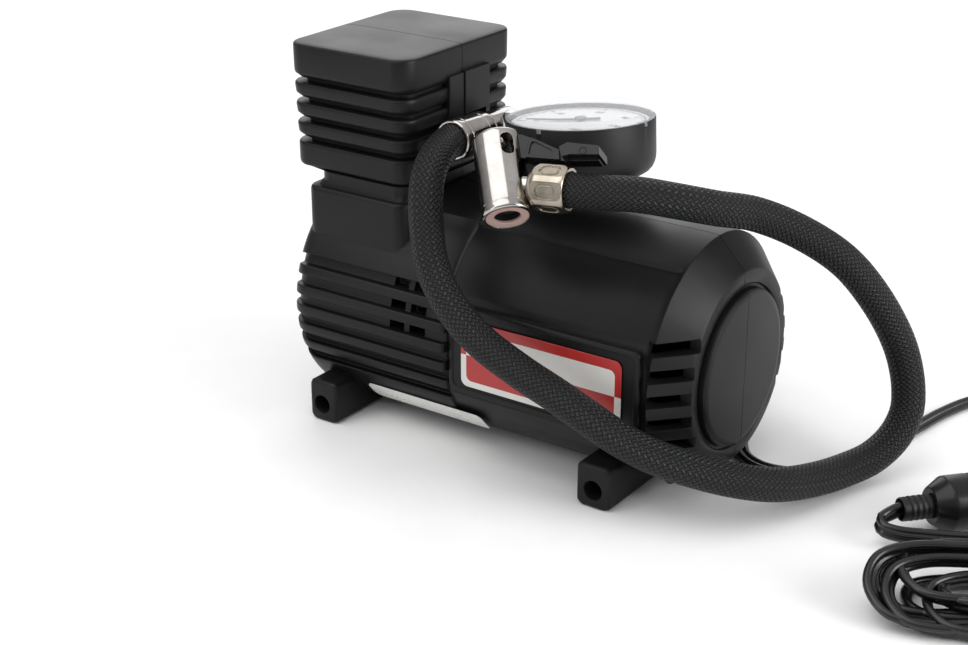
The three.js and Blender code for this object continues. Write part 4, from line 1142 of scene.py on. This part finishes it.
root = lathe("hose_root", [(0, -11.3), (6.6, -11.3), (7.6, -11.7), (8.3, -12.5), (8.65, -13.6),
    (8.7, -14.6), (8.7, -17.4), (8.45, -17.8), (8.45, -18.8), (8.7, -19.2), (8.7, -29.6), (8.45, -30.0),
    (8.45, -31.0), (8.7, -31.4), (8.7, -33.2), (8.5, -33.9), (8.0, -34.3), (7.4, -34.3), (7.25, -33.9),
    (7.25, -19), (0, -18)], "y", across_tee, 96)
fixed(root, gauge_frame, 28, CHROME, "chrome", "hose_root_ferrule")

# ---- chuck

PIN_WAY_R = 1.75
chuck = lathe("chuck_shell", [(0, 0), (9.0, 0), (9.55, 0.1), (10.0, 0.45), (10.2, 1.1), (10.2, 3.2),
    (10.08, 3.35), (10.08, 3.75), (10.2, 3.9), (10.2, 33.8), (10.0, 34.8), (9.5, 35.5), (8.7, 35.9),
    (7.6, 36), (0, 36)], steps=128)
spigot = moved(disc("spigot", "x", 4.4, 3, 17.6, steps=48), droop)
oval_turn = Matrix.Rotation(math.radians(-49), 4, "Z") @ Matrix.Rotation(math.radians(90), 4, "Y")
oval = prism("oval", "z", rounded(-4.8, 4.8, -2.8, 2.8, 2.7, 8), 4, 14)
moved(oval, Matrix.Translation((0, 0, 28)) @ oval_turn)
chuck = union(chuck, spigot)
openings = [disc("mouth", "z", 6.1, -1, 9, steps=72), disc("seat", "z", 8.75, -1, 1.5, steps=96),
            disc("chamber", "z", 4.6, 8, 22.4, steps=48), block("slot", -2.6, 20, -3.2, 3.2, 21.6, 50),
            moved(disc("way", "x", 1.8, 4, 20, steps=24), droop),
            disc("pin_way", "y", PIN_WAY_R, -7.9, 7.9, (PIVOT.z, PIVOT.x), 24), oval]
chuck = cut(chuck, *openings)
round_edges(flat_merge(chuck), 0.28, 50)
piece(moved(chuck, chuck_frame), "housing", CHROME, "chrome", "chuck_body")

seal = lathe("chuck_seal", [(5.35, 0.45), (5.65, 0.15), (8.4, 0.1), (8.7, 0.35), (8.7, 1.45), (5.35, 1.45),
    (5.35, 0.45)], steps=96)
fixed(seal, chuck_frame, 30, GASKET, "gasket", "chuck_gasket")
# The liner is black rubber rather than the seal's pink: a dark tube that paints shade into the bore.
liner = lathe("chuck_liner", [(5.35, 1.5), (6.05, 1.5), (6.05, 7.2), (4.1, 7.2), (4.1, 5.0), (4.4, 4.6),
    (5.35, 4.4), (5.35, 1.5)], steps=72)
fixed(liner, chuck_frame, 30, RUBBER, "gasket")

pusher = lathe("chuck_pusher", [(0, 9.5), (1.9, 9.5), (2.3, 9.9), (2.3, 12.9), (3.9, 13), (4.2, 13.4),
    (4.2, 17.2), (3.8, 17.5), (3.8, 18.3), (4.2, 18.6), (4.2, 20.0), (3.9, 20.4), (0, 20.4)], steps=56)
piece(smooth(moved(pusher, chuck_frame), 30), "plunger", BRASS, "brass", "chuck_plunger")

arm_outline = [(4.9, -1.4), (5.2, 6.4), (4, 11), (-0.3, 23.8), (-0.6, 30), (-1.4, 41), (-3.4, 41.6),
    (-4.6, 28), (-4.8, 7.2), (-5, 1), (-3.6, -3.4), (0, -5), (3.4, -3.7)]
pad_outline = [(-0.2, 25), (1.9, 28), (1.6, 41.4), (-2.2, 42.4), (-3.0, 30.6), (-4.2, 27)]
cheek_outline = [(3.9, 10.8), (3.3, 13), (-0.5, 24.4), (-4.6, 25.6), (-4.7, 10.8)]
arm = prism("chuck_thumb_lever", "y", soften(arm_outline, 1.2, 4), -2.8, 2.8)
pad = prism("pad", "y", soften(pad_outline, 0.5, 3), -6.2, 4.2)
cheek = prism("cheek", "y", soften(cheek_outline, 0.4, 3), -3.9, 3.9)
lever = union(arm, pad, cheek)
pockets = []
for side in (-1, 1):
    outline = soften([(2.7, 11.8), (-0.9, 21.6), (-3.7, 22.4), (-3.8, 11.8)], 1.5, 5)
    pockets.append(prism("pocket", "y", outline, *sorted((side * 3.2, side * 5))))
    mark = [(1.25, side * 6), (1.55, side * 6), (1.55, side * 7), (1.25, side * 7), (1.25, side * 6)]
    pockets.append(lathe("mark", mark, "y", (-1.2, 35.4), 40))
lever = cut(lever, disc("eye", "y", PIN_WAY_R, -10, 10, steps=24), *pockets)
round_edges(flat_merge(lever), 0.26, 35)
piece(moved(lever, lever_frame), "lever", GLOSS, "blackplastic", "chuck_lever")

CRIMP_FLAT = 8.85
crimp = lathe("chuck_crimp", [(4.7, 12.3), (5.6, 12.35), (6.6, 12.7), (7.9, 13.7), (8.9, 15.0), (9.5, 16.3),
    (9.6, 17.2), (9.6, 26.6), (9.5, 27.4), (9.15, 28.4), (8.7, 28.9), (8.1, 29), (7.4, 29), (7.2, 28.7),
    (7.2, 18), (4.7, 18), (4.7, 12.3)], "x", steps=120)
combine(crimp, [prism("hex", "x", circle(CRIMP_FLAT / math.cos(math.pi / 6), 6), 10, 40)], "INTERSECT")
presses = []
islands = []
for i in range(6):
    face_turn = Matrix.Rotation(i * math.pi / 3, 4, "X")
    press = prism("press", "z", rounded(17.4, 26.4, -3.1, 3.1, 3.0, 6), CRIMP_FLAT - 0.6, 12)
    island = prism("island", "z", rounded(18.5, 25.3, -2.0, 2.0, 1.9, 6), CRIMP_FLAT - 0.9, CRIMP_FLAT - 0.12)
    presses.append(moved(press, face_turn))
    islands.append(moved(island, face_turn))
crimp = union(cut(crimp, *presses), *islands)
round_edges(flat_merge(crimp), 0.25, 22)
piece(moved(crimp, barb_frame), "housing", WARM_NICKEL, "chrome", "chuck_ferrule")

# ---- plug

relief_profile = [(0, -7), (3.7, -7), (3.9, -8), (4.05, -12.2), (4.25, -12.6), (4.55, -12.55), (4.75, -12.2)]
for k in range(4):
    x = -10.2 + 2.35 * k
    relief_profile += [(4.8, x - 0.1), (4.4, x + 0.1), (4.4, x + 0.7), (4.8, x + 0.9), (4.95, x + 1.5)]
relief_profile += [(4.95, -0.4), (0, -0.4)]
relief = lathe("plug_sleeve", relief_profile, "x", steps=72)
fixed(relief, plug_frame, 25, RUBBER, "rubber", "plug_strain_relief")

barrel = lathe("plug_shell", [(0, 0), (7.2, 0), (7.6, 0.35), (10.45, 5.1), (10.9, 5.7), (11.15, 6.4),
    (11.2, 7.2), (11.2, 15.5), (11.05, 15.75), (10.75, 15.9), (10.75, 16.4), (11.0, 16.6), (11.1, 17.2),
    (11.0, 30), (10.75, 38), (10.4, 43.9), (10.55, 44.6), (11.2, 45.4), (11.3, 45.8), (11.3, 47.8),
    (11.15, 48.3), (10.4, 48.9), (10.2, 49.3), (10.2, 73.6), (9.9, 74), (0, 74)], "x", steps=120)
GRIP_R = 11.6
cutters = [disc("fuse_bore", "x", 4.2, 20, 80, steps=40)]
for side in (-1, 1):
    slot = rounded(55, 70, *sorted((7 * side, 12 * side)), 0.6, 3)
    cutters.append(prism("contact_slot", "z", slot, -2.6, 2.6))
for k in range(7):
    a = math.pi * (k - 3) * 14 / 180
    for side in (-1, 1):
        y = math.cos(a) * GRIP_R * side
        z = math.sin(a) * GRIP_R
        cutters.append(disc("grip", "x", 0.75, 21, 40, (y, z), 12))
cut(barrel, *cutters)
fixed(barrel, plug_frame, 28, GLOSS, "blackplastic", "plug_body")

cap = lathe("plug_nose", [(3.5, 74.3), (8.3, 74.3), (8.6, 74.6), (8.6, 75.2), (8.4, 75.4), (8.6, 75.7),
    (8.6, 76.8), (8.3, 77.6), (6.9, 79.7), (6.5, 80), (3.8, 80), (3.5, 79.7), (3.5, 74.3)], "x", steps=96)
fixed(cap, plug_frame, 28, GLOSS, "blackplastic", "plug_tip_ring")

# ---- cord outlet

grommet_profile = [(0, 45), (4.2, 45), (4.4, 45.3), (4.4, 50.2), (6.2, 50.3), (6.5, 50.6), (6.5, 51.8),
    (6.2, 52.1), (5.3, 52.7)]
for k in range(6):
    y = 54 + 3.1 * k
    r = 5.2 - 0.27 * k
    grommet_profile += [(r, y), (r - 0.55, y + 0.25), (r - 0.6, y + 1.15), (r - 0.08, y + 1.4)]
grommet_profile += [(3.5, 73.4), (3.3, 74), (0, 74)]
outlet = lathe("cord_outlet", grommet_profile, "y", (40, 50), 64)
piece(smooth(outlet, 25), "housing", RUBBER, "rubber", "cord_grommet")

# ---- hose and flex path points in metres, computed and left unused

[tuple(p * MM) for p in hose_path]
[tuple(p * MM) for p in flex_path]

# ---- CAD nodes that stay

KEPT = {
    SCREW: ["foot_screw_left", "foot_screw_right", "case_screw_tower", "case_screw_barrel",
            "head_screw_front", "head_screw_rear", "motor_screw_front", "motor_screw_rear"],
    ALLOY: ["crank_frame", "cylinder", "cylinder_head", "piston_rod"],
    STEEL: ["valve_plate", "reed_valve", "crank_shaft", "crank_pin", "crank_bearing", "motor_can",
            "motor_shaft", "lever_pin", "plug_pin", "side_contact_left", "side_contact_right"],
    BRASS: ["pinion", "big_end_bush", "bourdon_tube"],
    COPPER: ["armature", "commutator"],
    MAGNET: ["magnet_front", "magnet_rear"],
    CARBON: ["brush_front", "brush_rear"],
    ACETAL: ["crank_gear"],
    RUBBER: ["piston_seal"],
    GLOSS: ["motor_end_bell"],
    NEEDLE: ["gauge_needle"],
    FUSE_GLASS: ["plug_fuse"],
}
for finish, names in KEPT.items():
    for name in names:
        smooth(paint(nodes[name], finish), 32)
